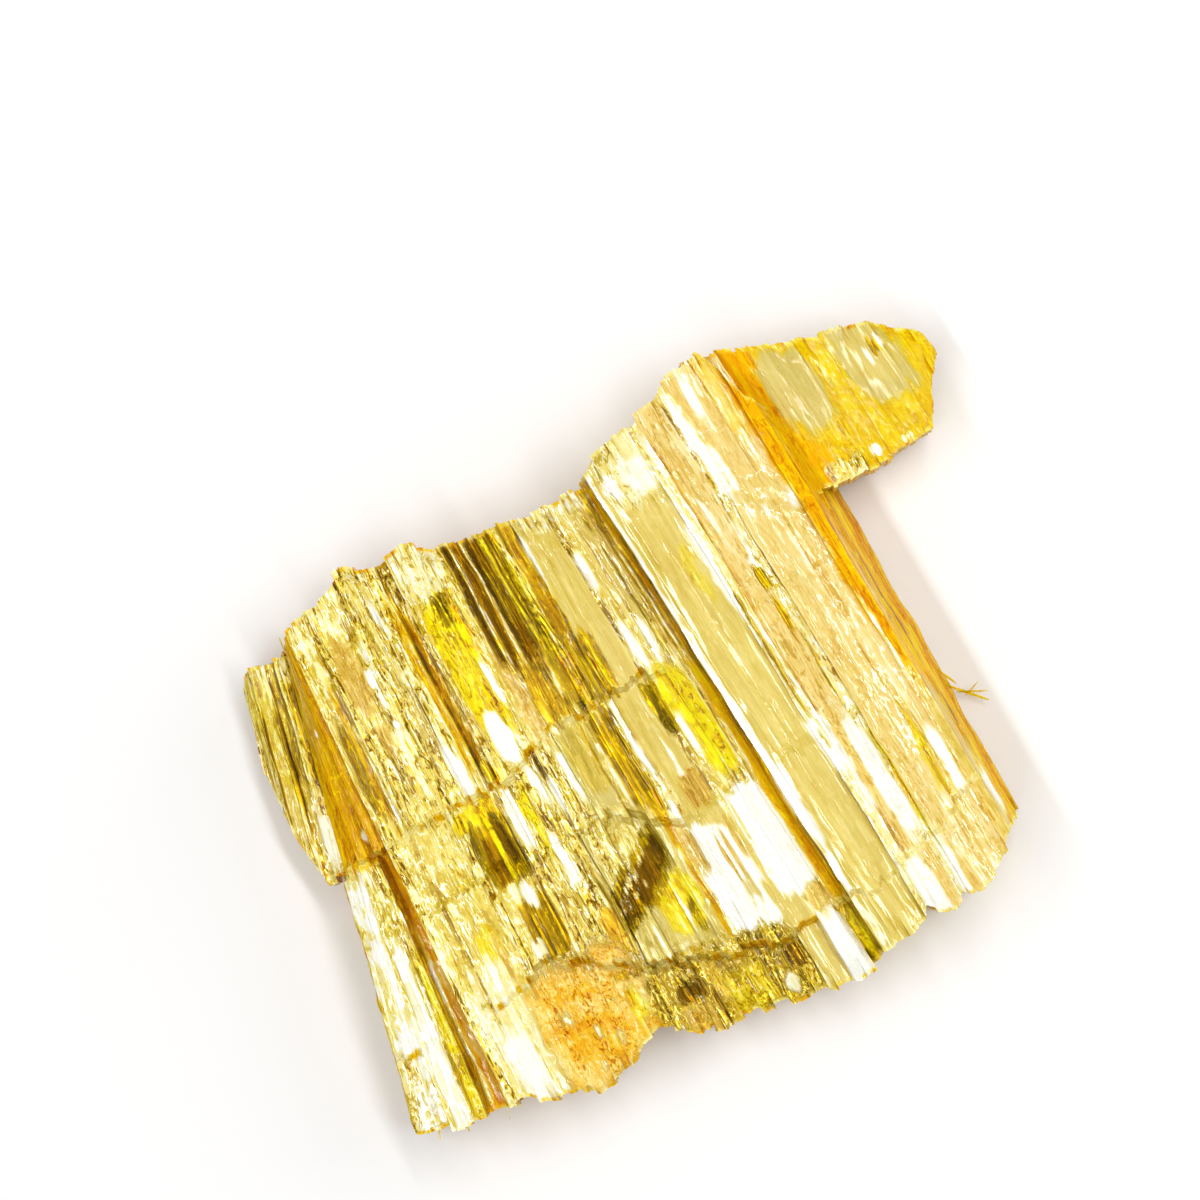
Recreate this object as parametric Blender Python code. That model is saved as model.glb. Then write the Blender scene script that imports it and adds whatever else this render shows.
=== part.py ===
"""A cleavage slab of orpiment: a bundle of laths on a stack of thin sheets, broken from its vein.

The slab lies flat. +Z is up, +Y points to the broken far end, +X to the stepped right wall, and the
origin is the middle of the bounding box on the surface that the slab rests on. Plan sizes and heights
are in millimetres until a mesh is written, which is in metres.

The laths run down the slab in a slight fan. A place on the main bundle is (across, along): across counts
the rails from the left foot (0) to the right foot (4), and along runs from 0 at the far end of a rail to
1 at its near end. Each lath reaches a little past both ends, so the broken ends are ragged.
"""

import math
from collections import namedtuple
from functools import partial

import bmesh
import bpy
from mathutils import Vector

MM = 0.001

SLAB_NAME = "orpiment_slab"
STEP_WIDTH = 0.15  # plan width of the steep side between two laths, or at a cross fracture

# The broken ends below the laths: (height, how far the end stands back there). The slab rests on height 0.
BUNDLE_BREAKS = ((0.0, 0.7), (1.4, 0.1), (1.6, 0.8), (3.1, 0.5), (3.3, 0.0))
SHEET_BREAKS = ((0.6, 0.5), (1.9, 0.0))
BREAK_TURN = 2.4  # radians from one lath's share of the standing back to the next one's
CLEAR_OF_TOP = 0.3  # least height between the uppermost of these ledges and the top of its lath

# The rails of the main bundle: far end and near end of each line that the laths follow.
RAILS = (
    ((-21.3, 4.7), (-12.5, -24.9)),  # foot of the left side
    ((-20.5, 5.3), (-7.0, -22.8)),  # left crest, and the groove below it
    ((-2.1, 13.8), (13.2, -10.7)),  # groove between the valley and the plateau
    ((8.2, 18.8), (22.5, -5.8)),  # right crest
    ((10.0, 19.8), (23.7, -5.1)),  # foot of the right wall
)

# Fractures across the laths, each a line of (across, along) points. They part the bundle into blocks.
FRACTURES = (
    ((0, 0.12), (1, 0.10), (1.6, 0.05), (2, 0.02), (2.3, 0.04), (2.6, 0.12), (3, 0.20), (4, 0.20)),
    ((0, 0.46), (1.35, 0.45), (1.54, 0.40), (1.88, 0.385), (2, 0.39), (2.68, 0.355), (4, 0.34)),
    ((0, 0.62), (1, 0.60), (1.57, 0.597), (1.74, 0.69), (2, 0.68), (2.6, 0.645), (4, 0.62)),
    ((0, 0.84), (1, 0.83), (1.26, 0.80), (1.48, 0.905), (1.77, 0.99), (2.2, 1.0), (3, 0.90), (4, 0.90)),
)

# share: of its band's width. left, right: heights of its two edges. drops: how far each block lies below
# that, from the far block to the near one. far, near: how far it reaches past its rails' ends.
Lath = namedtuple("Lath", "share left right drops far near")

LEFT_BAND = (
    Lath(0.35, 6.2, 6.6, (2.0, 1.9, 0.1, 0.0, 0.3), 0.0, 0.0),
    Lath(0.40, 6.7, 7.0, (1.0, 0.8, 0.0, 0.1, 0.0), 0.2, 0.2),
    Lath(0.25, 5.9, 6.0, (-1.1, -1.4, -0.1, 0.0, 0.0), 0.4, 0.0),
)
MIDDLE_BAND = (
    Lath(0.075, 8.2, 7.9, (0.5, 0.0, 0.2, 0.5, 0.6), 0.7, 0.1),
    Lath(0.112, 8.3, 8.0, (0.6, 0.0, 0.4, 0.6, 0.9), 1.1, 1.3),
    Lath(0.084, 8.0, 7.8, (0.4, 0.0, 0.3, 0.6, 1.4), 2.6, 2.2),
    Lath(0.056, 8.2, 8.2, (0.5, 0.0, 0.5, 0.7, 1.5), 1.8, 2.0),
    Lath(0.037, 7.3, 7.3, (0.4, 0.0, 0.2, 0.3, 0.8), 1.9, 1.7),
    Lath(0.122, 7.9, 7.5, (0.4, 0.0, 0.5, 0.7, 1.6), 2.1, 0.8),
    Lath(0.065, 7.3, 7.1, (0.2, 0.0, -0.2, 0.2, 1.7), 1.3, 2.4),
    Lath(0.122, 6.9, 6.7, (0.1, 0.0, -0.5, 0.3, 2.0), 1.2, 2.8),
    Lath(0.075, 7.0, 7.2, (0.0, 0.0, -0.3, 0.4, 2.2), 0.9, 3.2),
    Lath(0.102, 8.0, 8.1, (0.2, 0.0, 0.7, 0.9, 2.4), 0.6, 3.7),
    Lath(0.066, 7.4, 7.3, (0.3, 0.0, 0.5, 0.7, 1.6), 0.9, 4.2),
    Lath(0.047, 7.1, 7.0, (0.1, 0.0, 0.0, -0.6, -0.3), 0.9, 4.5),
    Lath(0.037, 6.8, 6.9, (0.0, 0.0, 0.0, 0.2, 0.4), 0.8, 4.1),
)
RIGHT_BAND = (
    Lath(0.042, 8.5, 8.8, (0.1, 0.0, 0.0, 0.0, 0.7), 1.2, 3.4),
    Lath(0.300, 8.8, 8.7, (-0.3, 0.0, 0.0, 0.1, 0.3), 2.4, 3.8),
    Lath(0.067, 9.0, 8.9, (-0.1, 0.0, 0.1, 0.0, 0.2), 2.8, 2.4),
    Lath(0.150, 8.6, 8.7, (-0.2, 0.0, 0.1, 0.2, 0.4), 3.4, 3.4),
    Lath(0.058, 8.2, 8.2, (0.1, 0.0, -0.1, 0.1, 0.2), 3.9, 2.2),
    Lath(0.183, 8.7, 8.6, (0.9, 0.0, -0.2, 0.1, 0.3), 4.6, 3.2),
    Lath(0.125, 8.5, 8.4, (1.3, 0.1, -0.1, 0.0, 0.2), 5.2, 2.0),
    Lath(0.075, 8.6, 8.4, (0.9, 0.0, 0.0, 0.1, 0.3), 1.6, 0.9),
)
RIGHT_WALL = (
    Lath(0.30, 8.0, 6.3, (0.6, 0.0, 0.0, 0.1, 0.4), 0.6, 0.6),
    Lath(0.12, 5.6, 5.4, (0.2, 0.0, 0.2, 0.0, 0.1), 0.4, 0.5),
    Lath(0.25, 4.9, 3.7, (0.0, 0.0, 0.1, 0.0, 0.0), 0.3, 0.4),
    Lath(0.13, 3.3, 3.1, (0.0, 0.1, 0.0, 0.1, 0.0), 0.2, 0.3),
    Lath(0.20, 2.3, 0.9, (0.0, 0.0, 0.0, 0.0, 0.0), 0.1, 0.2),
)
BANDS = (LEFT_BAND, MIDDLE_BAND, RIGHT_BAND, RIGHT_WALL)

# A sheet sticks out from under the bundle. Its laths are parallel and run along `run`; its far and near
# edges are lines of plan points. ridges: (share of its width, left height, right height) of each lath.
Sheet = namedtuple("Sheet", "name run far near ridges")

LEFT_SHEET = Sheet(
    name="left_sheet",
    run=(0.284, -0.959),
    far=((-24.0, 2.3), (-23.8, 3.7), (-21.3, 4.4), (-17.5, 4.2)),
    near=((-22.4, -2.8), (-21.1, -5.4), (-19.5, -8.3), (-18.5, -9.7), (-17.4, -9.2), (-14.8, -9.0)),
    ridges=((0.14, 2.9, 3.6), (0.20, 4.1, 4.0), (0.12, 3.6, 3.7), (0.54, 4.3, 4.2)),
)
REAR_SHEET = Sheet(
    name="rear_sheet",
    run=(0.515, -0.857),
    far=((3.2, 22.0), (5.2, 22.7), (8.5, 23.3), (11.0, 23.7), (13.5, 24.7), (15.4, 25.0),
         (16.9, 24.2), (18.6, 24.1), (19.3, 23.5)),
    near=((7.0, 12.5), (12.9, 14.4), (14.4, 15.4), (17.4, 16.9), (18.8, 18.1), (18.7, 20.9), (19.0, 22.6)),
    ridges=((0.16, 6.7, 6.6), (0.14, 5.5, 5.3), (0.17, 5.7, 5.6), (0.12, 5.0, 4.9),
            (0.22, 5.4, 5.2), (0.10, 4.8, 4.7), (0.09, 4.2, 3.7)),
)

STONE_COLOUR = (0.86, 0.62, 0.08, 1.0)
STONE_ROUGHNESS = 0.32


def clear_scene():
    """Remove every object of the open file."""
    for old in list(bpy.data.objects):
        bpy.data.objects.remove(old, do_unlink=True)


def make_collection(name):
    """Make a collection in the scene."""
    made = bpy.data.collections.new(name)
    bpy.context.scene.collection.children.link(made)
    return made


def stone_material():
    """The golden yellow of orpiment, with its resinous shine."""
    material = bpy.data.materials.new("orpiment")
    material.use_nodes = True
    shader = material.node_tree.nodes["Principled BSDF"]
    shader.inputs["Base Color"].default_value = STONE_COLOUR
    shader.inputs["Roughness"].default_value = STONE_ROUGHNESS
    shader.inputs["Metallic"].default_value = 0.0
    return material


def on_line(points, at):
    """The second coordinate of a line of points where its first is `at`, held level past its ends."""
    if at <= points[0][0]:
        return points[0][1]
    for (start, low), (end, high) in zip(points, points[1:]):
        if at <= end:
            return low + (high - low) * (at - start) / (end - start)
    return points[-1][1]


def bundle_place(across, along):
    """Plan position of a place on the bundle."""
    band = min(int(across), len(RAILS) - 2)
    share = across - band
    far = Vector(RAILS[band][0]).lerp(RAILS[band + 1][0], share)
    near = Vector(RAILS[band][1]).lerp(RAILS[band + 1][1], share)
    return far.lerp(near, along)


def rail_length(across):
    """Length of the rail at `across`."""
    return (bundle_place(across, 1.0) - bundle_place(across, 0.0)).length


def bundle_line(across, lath, height, setback):
    """The points of one line along a lath, from its far end to its near end, with ends `setback` short."""
    length = rail_length(across)
    half_step = 0.5 * STEP_WIDTH / length
    ends = [(setback - lath.far) / length, 1.0 + (lath.near - setback) / length]
    borders = [ends[0], *(on_line(fracture, across) for fracture in FRACTURES), ends[1]]
    points = []
    for start, end, drop in zip(borders, borders[1:], lath.drops):
        first = start if start == ends[0] else start + half_step
        last = end if end == ends[1] else end - half_step
        for along in (first, 0.5 * (first + last), last):
            points.append((*bundle_place(across, along), height - drop))
    return points


def bundle_lines(setback=0.0):
    """The lines of the bundle's upper surface, two to a lath, from the left foot to the right foot."""
    lines = []
    for band, laths in enumerate(BANDS):
        width = (bundle_place(band + 1, 0.5) - bundle_place(band, 0.5)).length
        half_step = 0.5 * STEP_WIDTH / width
        start = float(band)
        for lath in laths:
            end = min(start + lath.share, band + 1.0)
            own_setback = setback * break_share(len(lines))
            lines.append(bundle_line(start + half_step, lath, lath.left, own_setback))
            lines.append(bundle_line(end - half_step, lath, lath.right, own_setback))
            start = end
    return lines


def sheet_lines(sheet, setback=0.0):
    """The lines of a sheet's upper surface, two to a lath."""
    run = Vector(sheet.run).normalized()
    side = Vector((-run.y, run.x))
    far = [(Vector(point).dot(side), Vector(point).dot(run)) for point in sheet.far]
    near = [(Vector(point).dot(side), Vector(point).dot(run)) for point in sheet.near]
    low = max(far[0][0], near[0][0])
    high = min(far[-1][0], near[-1][0])
    lines = []
    start = 0.0
    for share, left, right in sheet.ridges:
        end = min(start + share, 1.0)
        own_setback = setback * break_share(len(lines))
        for at, inward, height in ((start, 1, left), (end, -1, right)):
            across = low + (high - low) * at + 0.5 * inward * STEP_WIDTH
            first = on_line(far, across) + own_setback
            last = on_line(near, across) - own_setback
            middle = 0.5 * (first + last)
            lines.append([(*(side * across + run * along), height) for along in (first, middle, last)])
        start = end
    return lines


def break_share(line):
    """How much of a ledge's standing back the lath at `line` has, from 0.2 to 1."""
    return 0.6 + 0.4 * math.sin(BREAK_TURN * line)


def levels_below(lines_at, breaks):
    """Levels for `relief_block`: the lines at each height of `breaks`, then the upper surface itself."""
    floor, highest = breaks[0][0], breaks[-1][0]
    levels = []
    for height, setback in breaks:
        level = []
        for line in lines_at(setback):
            room = [min(1.0, (top - CLEAR_OF_TOP - floor) / (highest - floor)) for _, _, top in line]
            level.append([(x, y, floor + (height - floor) * share) for (x, y, _), share in zip(line, room)])
        levels.append(level)
    return [*levels, lines_at(0.0)]


def relief_block(name, levels, collection):
    """A closed solid from levels of lines. The first is its flat floor, the last its upper surface."""
    mesh = bpy.data.meshes.new(name)
    shape = bmesh.new()
    last_line, last_point = len(levels[0]) - 1, len(levels[0][0]) - 1
    bmesh.ops.create_grid(shape, x_segments=last_line, y_segments=last_point, size=1.0)
    line_of = shape.verts.layers.int.new("line")
    point_of = shape.verts.layers.int.new("point")
    for vertex in shape.verts:
        vertex[line_of] = round((vertex.co.x + 1.0) / 2.0 * last_line)
        vertex[point_of] = round((vertex.co.y + 1.0) / 2.0 * last_point)
    sheet = shape.verts[:] + shape.faces[:]
    for number, level in enumerate(levels):
        if number:
            sheet = bmesh.ops.extrude_face_region(shape, geom=sheet)["geom"]
        for vertex in (part for part in sheet if isinstance(part, bmesh.types.BMVert)):
            vertex.co = Vector(level[vertex[line_of]][vertex[point_of]]) * MM
    bmesh.ops.recalc_face_normals(shape, faces=shape.faces[:])
    if shape.calc_volume(signed=True) < 0.0:
        bmesh.ops.reverse_faces(shape, faces=shape.faces[:])
    shape.to_mesh(mesh)
    shape.free()
    block = bpy.data.objects.new(name, mesh)
    collection.objects.link(block)
    return block


def join_hidden(body, tool):
    """Join `tool` to `body` with a Boolean, and hide the tool."""
    union = body.modifiers.new(f"join_{tool.name}", "BOOLEAN")
    union.operation = "UNION"
    union.solver = "EXACT"
    union.object = tool
    tool.hide_render = True
    tool.display_type = "WIRE"


def build():
    """Build the slab."""
    clear_scene()
    model = make_collection("orpiment_specimen")
    tools = make_collection("joined_sheets")
    slab = relief_block(SLAB_NAME, levels_below(bundle_lines, BUNDLE_BREAKS), model)
    slab.data.materials.append(stone_material())
    for sheet in (LEFT_SHEET, REAR_SHEET):
        levels = levels_below(partial(sheet_lines, sheet), SHEET_BREAKS)
        join_hidden(slab, relief_block(sheet.name, levels, tools))


build()
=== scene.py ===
"""Dressing of a cleavage slab of orpiment: its laths, lower sheets, splinters and lustre, and a plain studio.

The slab is a bundle of laths on thin lower sheets. Each pack of laths is one closed mesh, a dense grid whose
columns run along the laths and whose rims step down to the resting face as broken sheets. A few splinters
lie at its edges. Plan sizes and heights are in millimetres here, and become metres where a mesh is written.

A place on a pack is (across, along). Across counts the rails from left to right, and along runs from 0 at
the far end of a rail to 1 at its near end. Where a constant is a pair that ease() takes, it holds the value
at which a share is 0 and the one at which it is 1.
"""

import logging
import math
from collections.abc import Iterator, Sequence
from dataclasses import dataclass, field, fields, replace
from enum import Enum, IntEnum
from itertools import pairwise

import bmesh
import bpy
import numpy as np
from mathutils import Euler, Matrix, Vector


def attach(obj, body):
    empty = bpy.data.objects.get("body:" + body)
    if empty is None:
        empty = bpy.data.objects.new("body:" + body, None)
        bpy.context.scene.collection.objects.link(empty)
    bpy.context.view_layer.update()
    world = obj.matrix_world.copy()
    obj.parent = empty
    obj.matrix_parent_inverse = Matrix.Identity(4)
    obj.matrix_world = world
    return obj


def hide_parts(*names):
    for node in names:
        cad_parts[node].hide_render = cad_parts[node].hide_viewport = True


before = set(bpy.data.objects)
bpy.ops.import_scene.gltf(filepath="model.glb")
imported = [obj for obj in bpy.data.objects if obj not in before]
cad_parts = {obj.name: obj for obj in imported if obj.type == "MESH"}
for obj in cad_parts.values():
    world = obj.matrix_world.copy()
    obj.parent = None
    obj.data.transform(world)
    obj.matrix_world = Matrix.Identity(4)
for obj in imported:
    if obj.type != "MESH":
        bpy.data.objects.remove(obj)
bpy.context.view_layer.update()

LOG = logging.getLogger("orpiment")
MM = 0.001
ROOT = "root"
SLAB_NODE = "orpiment_slab"
FAR_OFF = 100.0  # millimetres, more than any distance on the slab

Point = tuple[float, float]
Triple = tuple[float, float, float]
Colour = Triple
Numbers = float | np.ndarray
Rail = tuple[Point, Point]


# ---------------------------------------------------------------------------------------------------------
# Looks

BLACK = 0.003  # added to a colour before its logarithm is taken


@dataclass(frozen=True)
class Finish:
    """How one kind of surface of the mineral looks, or how each point of a grid does.

    Attributes:
        body: Linear colour of the mineral under its lustre.
        lustre: Share of the pearly coat, from 0 to 1.
        roughness: Roughness of the mineral under the coat.
        crumple: Height of the fine crumpling, in millimetres.
        ridging: How strongly its plates and fibres stand out, in height and in depth of colour.
        variegation: How much its strands differ in depth of colour.
        etching: How much of it has fine dark lines, painted shade in its cracks and beside its crinkles and
            partly its own dark lines, from 0 to 1.
        sparkle: How much of it has painted highlights as fine pale lines and specks, from 0 to 1.
        crossing: How much of it has fine pale lines across the laths, from 0 to 1.
        glinting: How much of it has painted glints, pale in short stretches, from 0 to 1.
        tangling: How far its lines leave the grain, from 0 to 1.
    """

    body: Colour | np.ndarray
    lustre: Numbers
    roughness: Numbers
    crumple: Numbers
    ridging: Numbers
    variegation: Numbers
    etching: Numbers
    sparkle: Numbers
    crossing: Numbers
    glinting: Numbers
    tangling: Numbers

    def values(self) -> list[float]:
        """All of it as one row of numbers."""
        return [*self.body, *(getattr(self, one.name) for one in fields(self)[1:])]

    @classmethod
    def of_grid(cls, values: np.ndarray) -> "Finish":
        """The finish of each point of a grid, from an array whose last axis is a row of values."""
        return cls(values[..., :3], *np.moveaxis(values[..., 3:], -1, 0))


class Look(Enum):
    """The kinds of surface that the slab has."""

    SILVER = Finish((0.70, 0.53, 0.05), 0.45, 0.30, 0.030, 0.35, 0.8, 1.0, 1.0, 0.2, 0.6, 0.1)
    STRAW = Finish((0.70, 0.54, 0.10), 0.45, 0.26, 0.003, 0.08, 0.20, 0.05, 0.15, 0.1, 0.0, 0.0)
    KHAKI = Finish((0.60, 0.48, 0.12), 0.20, 0.36, 0.006, 0.05, 0.15, 0.05, 0.10, 0.1, 0.0, 0.0)
    # Pale cream mineral; its patches also serve as painted highlight where broad zones shine out pale.
    CREAM = Finish((0.86, 0.74, 0.25), 0.6, 0.30, 0.020, 0.30, 0.8, 0.8, 0.9, 0.2, 0.8, 0.1)
    # Painted highlight: the palest look, for glints and blown-out shining patches.
    WHITE = Finish((1.00, 0.98, 0.86), 1.0, 0.25, 0.006, 0.10, 0.2, 0.35, 0.3, 0.1, 0.0, 0.0)
    GOLD = Finish((0.82, 0.63, 0.00), 0.1, 0.25, 0.025, 0.5, 1.2, 0.9, 0.7, 0.3, 0.5, 0.2)
    TAN = Finish((0.66, 0.43, 0.06), 0.2, 0.30, 0.015, 0.15, 0.4, 0.3, 0.3, 0.3, 0.1, 0.1)
    HONEY = Finish((0.40, 0.23, 0.00), 0.08, 0.28, 0.015, 0.6, 0.8, 0.8, 0.4, 0.0, 0.2, 0.0)
    AMBER = Finish((0.70, 0.37, 0.00), 0.05, 0.35, 0.016, 0.12, 0.35, 0.4, 0.5, 0.5, 0.2, 0.0)
    YELLOW = Finish((0.76, 0.50, 0.00), 0.10, 0.30, 0.020, 0.05, 0.30, 0.25, 0.4, 0.4, 0.1, 0.3)
    ORANGE = Finish((0.82, 0.44, 0.00), 0.0, 0.45, 0.016, 0.15, 0.30, 0.3, 0.4, 0.5, 0.1, 0.0)
    OLIVE = Finish((0.32, 0.20, 0.00), 0.03, 0.25, 0.020, 0.7, 1.0, 1.0, 0.4, 0.0, 0.1, 0.2)
    UMBER = Finish((0.13, 0.055, 0.00), 0.0, 0.25, 0.020, 0.7, 0.9, 0.9, 0.3, 0.0, 0.0, 0.0)
    TOFFEE = Finish((0.50, 0.33, 0.01), 0.2, 0.30, 0.060, 0.30, 1.3, 0.9, 0.8, 0.3, 0.2, 0.6)
    PEACH = Finish((0.78, 0.57, 0.14), 0.45, 0.32, 0.018, 0.15, 0.3, 0.3, 0.4, 0.6, 0.15, 0.0)
    # Pale line along the fractures: painted highlight on their broken edges.
    CHALK = Finish((0.95, 0.86, 0.40), 0.1, 0.50, 0.020, 0.30, 0.4, 0.3, 0.3, 0.0, 0.0, 0.0)
    APRICOT = Finish((0.88, 0.58, 0.07), 0.2, 0.40, 0.060, 0.05, 0.6, 0.7, 0.7, 0.5, 0.2, 1.0)
    BUFF = Finish((0.92, 0.70, 0.22), 0.3, 0.40, 0.050, 0.05, 0.4, 0.5, 0.6, 0.5, 0.2, 0.9)
    MARMALADE = Finish((0.84, 0.47, 0.01), 0.1, 0.40, 0.060, 0.05, 0.4, 0.5, 0.8, 0.5, 0.3, 1.0)

    def mixable(self) -> np.ndarray:
        """Its values with the logarithm of its colour, so that a mixture keeps its depth of colour."""
        row = np.array(self.value.values())
        row[:3] = np.log(row[:3] + BLACK)
        return row


SILVER, STRAW, KHAKI, CREAM, WHITE, GOLD, TAN, HONEY, AMBER, YELLOW = list(Look)[:10]
ORANGE, OLIVE, UMBER, TOFFEE, PEACH, CHALK, APRICOT, BUFF, MARMALADE = list(Look)[10:]


@dataclass(frozen=True)
class Patch:
    """A stretch of laths with a look of its own.

    Attributes:
        look: What it looks like.
        across: Where it begins and ends across the laths.
        along: Where it begins and ends along them.
        strength: How fully it covers what is there, from 0 to 1.
        fading: Width of its blurred border, in millimetres.
        squareness: From 2 for an oval to 12 for nearly a rectangle.
        lean: How much farther along its right side lies than its left, as the tangent of an angle.
    """

    look: Look
    across: Point
    along: Point
    strength: float = 1.0
    fading: float = 0.25
    squareness: float = 3.5
    lean: float = 0.0


def patches_of(*rows: tuple[Look | float, ...]) -> tuple[Patch, ...]:
    """Patches from rows that hold a look, where it begins and ends across and along, and what else it has."""
    return tuple(
        Patch(look, (left, right), (begin, end), *rest) for look, left, right, begin, end, *rest in rows
    )


# ---------------------------------------------------------------------------------------------------------
# Numbers that vary over a surface

SEED_FACTOR, SEED_SHIFT = 7919, 17
KEY_FACTOR, MIXING_FACTOR = 374761393, 1274126177
LOW_31_BITS, LOW_16_BITS = 0x7FFFFFFF, 0xFFFF
OCTAVE_SCALE, OCTAVE_SHIFT = 2.03, (5.2, 1.3)
PALE_REDS = (0.3, 0.85)
GOLDEN_GREENS = (0.52, 0.74)  # green as a share of red, from honey to straw
LEAST_TINTING, FURTHER_TINTING = 0.5, 1.1
DARKENING = 0.8


def scatter(seed: int, *keys: np.ndarray) -> np.ndarray:
    """Give each set of whole numbers its own even value.

    Args:
        seed: Picks one scattering of many.
        keys: Arrays of whole numbers, of shapes that go together.

    Returns:
        Values from -1 to 1.
    """
    mixed = np.int64(seed * SEED_FACTOR + SEED_SHIFT)
    for key in keys:
        mixed = (mixed ^ (np.asarray(key, np.int64) * KEY_FACTOR)) & LOW_31_BITS
        mixed = ((mixed ^ (mixed >> 13)) * MIXING_FACTOR) & LOW_31_BITS
        mixed = mixed ^ (mixed >> 16)
    return (mixed & LOW_16_BITS) / (LOW_16_BITS / 2) - 1.0


def swell(seed: int, x: np.ndarray, y: np.ndarray, octaves: int = 1) -> np.ndarray:
    """Smooth noise over a plane.

    Args:
        seed: Picks one pattern of many.
        x: First coordinate, in units of the pattern's size.
        y: Second coordinate, in the same units.
        octaves: Number of patterns, each half the size and height of the one before.

    Returns:
        Values from about -1 to 1.
    """
    total, height = 0.0, 1.0
    for octave in range(octaves):
        column, row = np.floor(x), np.floor(y)
        right, up = x - column, y - row
        right, up = right * right * (3 - 2 * right), up * up * (3 - 2 * up)
        corners = [scatter(seed + octave, column + i, row + j) for j in (0, 1) for i in (0, 1)]
        low = corners[0] + (corners[1] - corners[0]) * right
        high = corners[2] + (corners[3] - corners[2]) * right
        total = total + height * (low + (high - low) * up)
        x, y = x * OCTAVE_SCALE + OCTAVE_SHIFT[0], y * OCTAVE_SCALE + OCTAVE_SHIFT[1]
        height = height / 2
    return total / (2.0 - 2.0 ** (1 - octaves))


def ease(low: float, high: float, value: np.ndarray) -> np.ndarray:
    """Rise smoothly from 0 where value is at low to 1 where it is at high."""
    share = np.clip((value - low) / (high - low), 0.0, 1.0)
    return share * share * (3.0 - 2.0 * share)


def spread(weights: Point, value: np.ndarray) -> np.ndarray:
    """A steady weight and what a value adds to it."""
    return weights[0] + weights[1] * value


def paleness(body: np.ndarray) -> np.ndarray:
    """Tell the pale mineral, 1, from the dark one, 0."""
    return ease(*PALE_REDS, body[..., 0])


def deepened(body: np.ndarray, depth: np.ndarray) -> np.ndarray:
    """The colour of mineral where light goes further or less far in it.

    Args:
        body: Its own colour.
        depth: Doublings of the way that light goes in it.

    Returns:
        The colours. The pale mineral deepens towards gold and honey, and the dark one only darkens.
    """
    pale = paleness(body)
    greenness = body[..., 1] / np.maximum(body[..., 0], 0.01)
    tinting = np.minimum(depth, LEAST_TINTING + FURTHER_TINTING * ease(*GOLDEN_GREENS, greenness))
    darkness = DARKENING * (depth - pale * tinting)
    return body ** (2.0 ** (tinting * pale))[..., None] * (2.0**-darkness)[..., None]


def random_edges(picker: np.random.Generator, width: float, pieces: Point) -> np.ndarray:
    """Part a width into pieces.

    Args:
        picker: Source of the pieces' widths.
        width: The whole width.
        pieces: Least and greatest width of a piece.

    Returns:
        Shares of the width, from 0 to 1.
    """
    edges = [0.0]
    while edges[-1] < width:
        edges.append(edges[-1] + picker.uniform(*pieces))
    return np.array(edges) / edges[-1]


class Draw(IntEnum):
    """What a pack draws scattered values for, as the number that it adds to its seed."""

    FAR_REACH = 1
    NEAR_REACH = 2
    FRACTURE = 3
    TERRACE_LENGTH = 4
    TERRACE_START = 5
    PLATE_HEIGHT = 6
    FIBRE_HEIGHT = 8
    PLATE_LEAN = 9
    PLATE_TONE = 15
    FIBRE_TONE = 17
    PATCH_END = 21
    STRAND_LENGTH = 24
    STRAND_START = 25
    STRAND_DEPTH = 27
    EDGE_BREAKS = 30
    PLATE_SHINE = 33
    CHIP = 41
    SHEETS = 50
    STANDING_BACK = 60
    FLANK_WANDER = 61
    SHEET_COLOUR = 62
    SHEET_DRIFT = 64
    PLATE_ETCHING = 70


class Ripple(Enum):
    """The smooth patterns over a pack, each with the number that it adds to the pack's seed.

    Attributes:
        seed: That number.
        width: The pattern's size across the laths, in millimetres.
        length: Its size along them.
        octaves: Number of patterns in it, each half the size and height of the one before.
        height: Its greatest value.
    """

    BROAD_SWELL = (11, 2.4, 5.0, 2, 0.09)
    NARROW_SWELL = (13, 0.6, 2.6, 2, 0.03)
    STRIAE = (14, 0.14, 1.3, 2, 0.02)
    FIBRE_DEPTH = (18, 0.2, 3.0, 2, 0.5)
    PATCH_BORDER = (20, 0.5, 1.4, 3, 1.0)
    FLECKS = (22, 0.38, 2.2, 3, 0.8)
    STRAND_WANDER = (26, 0.15, 0.8, 2, 0.15)
    SEAM_TURN = (31, 0.5, 2.0, 2, 1.0)
    SHINE = (32, 0.45, 1.8, 2, 1.0)
    FINE_SHINE = (34, 0.2, 0.5, 1, 0.25)
    SEAM_GAPS = (35, 0.3, 1.0, 1, 1.0)
    CRUMPLE = (40, 0.22, 0.45, 2, 1.0)
    LUMPS = (42, 0.9, 0.9, 3, 0.18)
    TANGLED_DEPTH = (43, 0.8, 0.7, 3, 0.7)
    SMALL_LUMPS = (44, 0.4, 0.4, 2, 0.10)
    GRAIN_WANDER = (63, 2.5, 6.0, 2, 0.12)
    BROAD_BEND = (901, 1.3, 4.5, 2, 0.11)
    NARROW_BEND = (903, 0.4, 1.4, 2, 0.05)

    def __init__(self, seed: int, width: float, length: float, octaves: int, height: float) -> None:
        """Keep its numbers under their names."""
        self.seed, self.width, self.length, self.octaves, self.height = seed, width, length, octaves, height

    def over(self, seed: int, across: np.ndarray, along: np.ndarray, scale: Numbers = 1.0) -> np.ndarray:
        """Its values.

        Args:
            seed: The pack's seed.
            across: Distance of each point across the laths.
            along: Distance of each point along them.
            scale: How many times its usual height it has.

        Returns:
            One value for each point.
        """
        noise = swell(seed + self.seed, across / self.width, along / self.length, self.octaves)
        return self.height * scale * noise


# ---------------------------------------------------------------------------------------------------------
# Packs of laths

INSET = 0.01  # millimetres between a fibre's outer columns and its borders
CRACK = 0.02  # millimetres between two blocks of a lath
RIM_ROW = 0.3  # place of the extra row beside each border, in steps between two rows
LEAST_BLOCK = 0.004  # least length of a block, as a share of its rails

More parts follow.
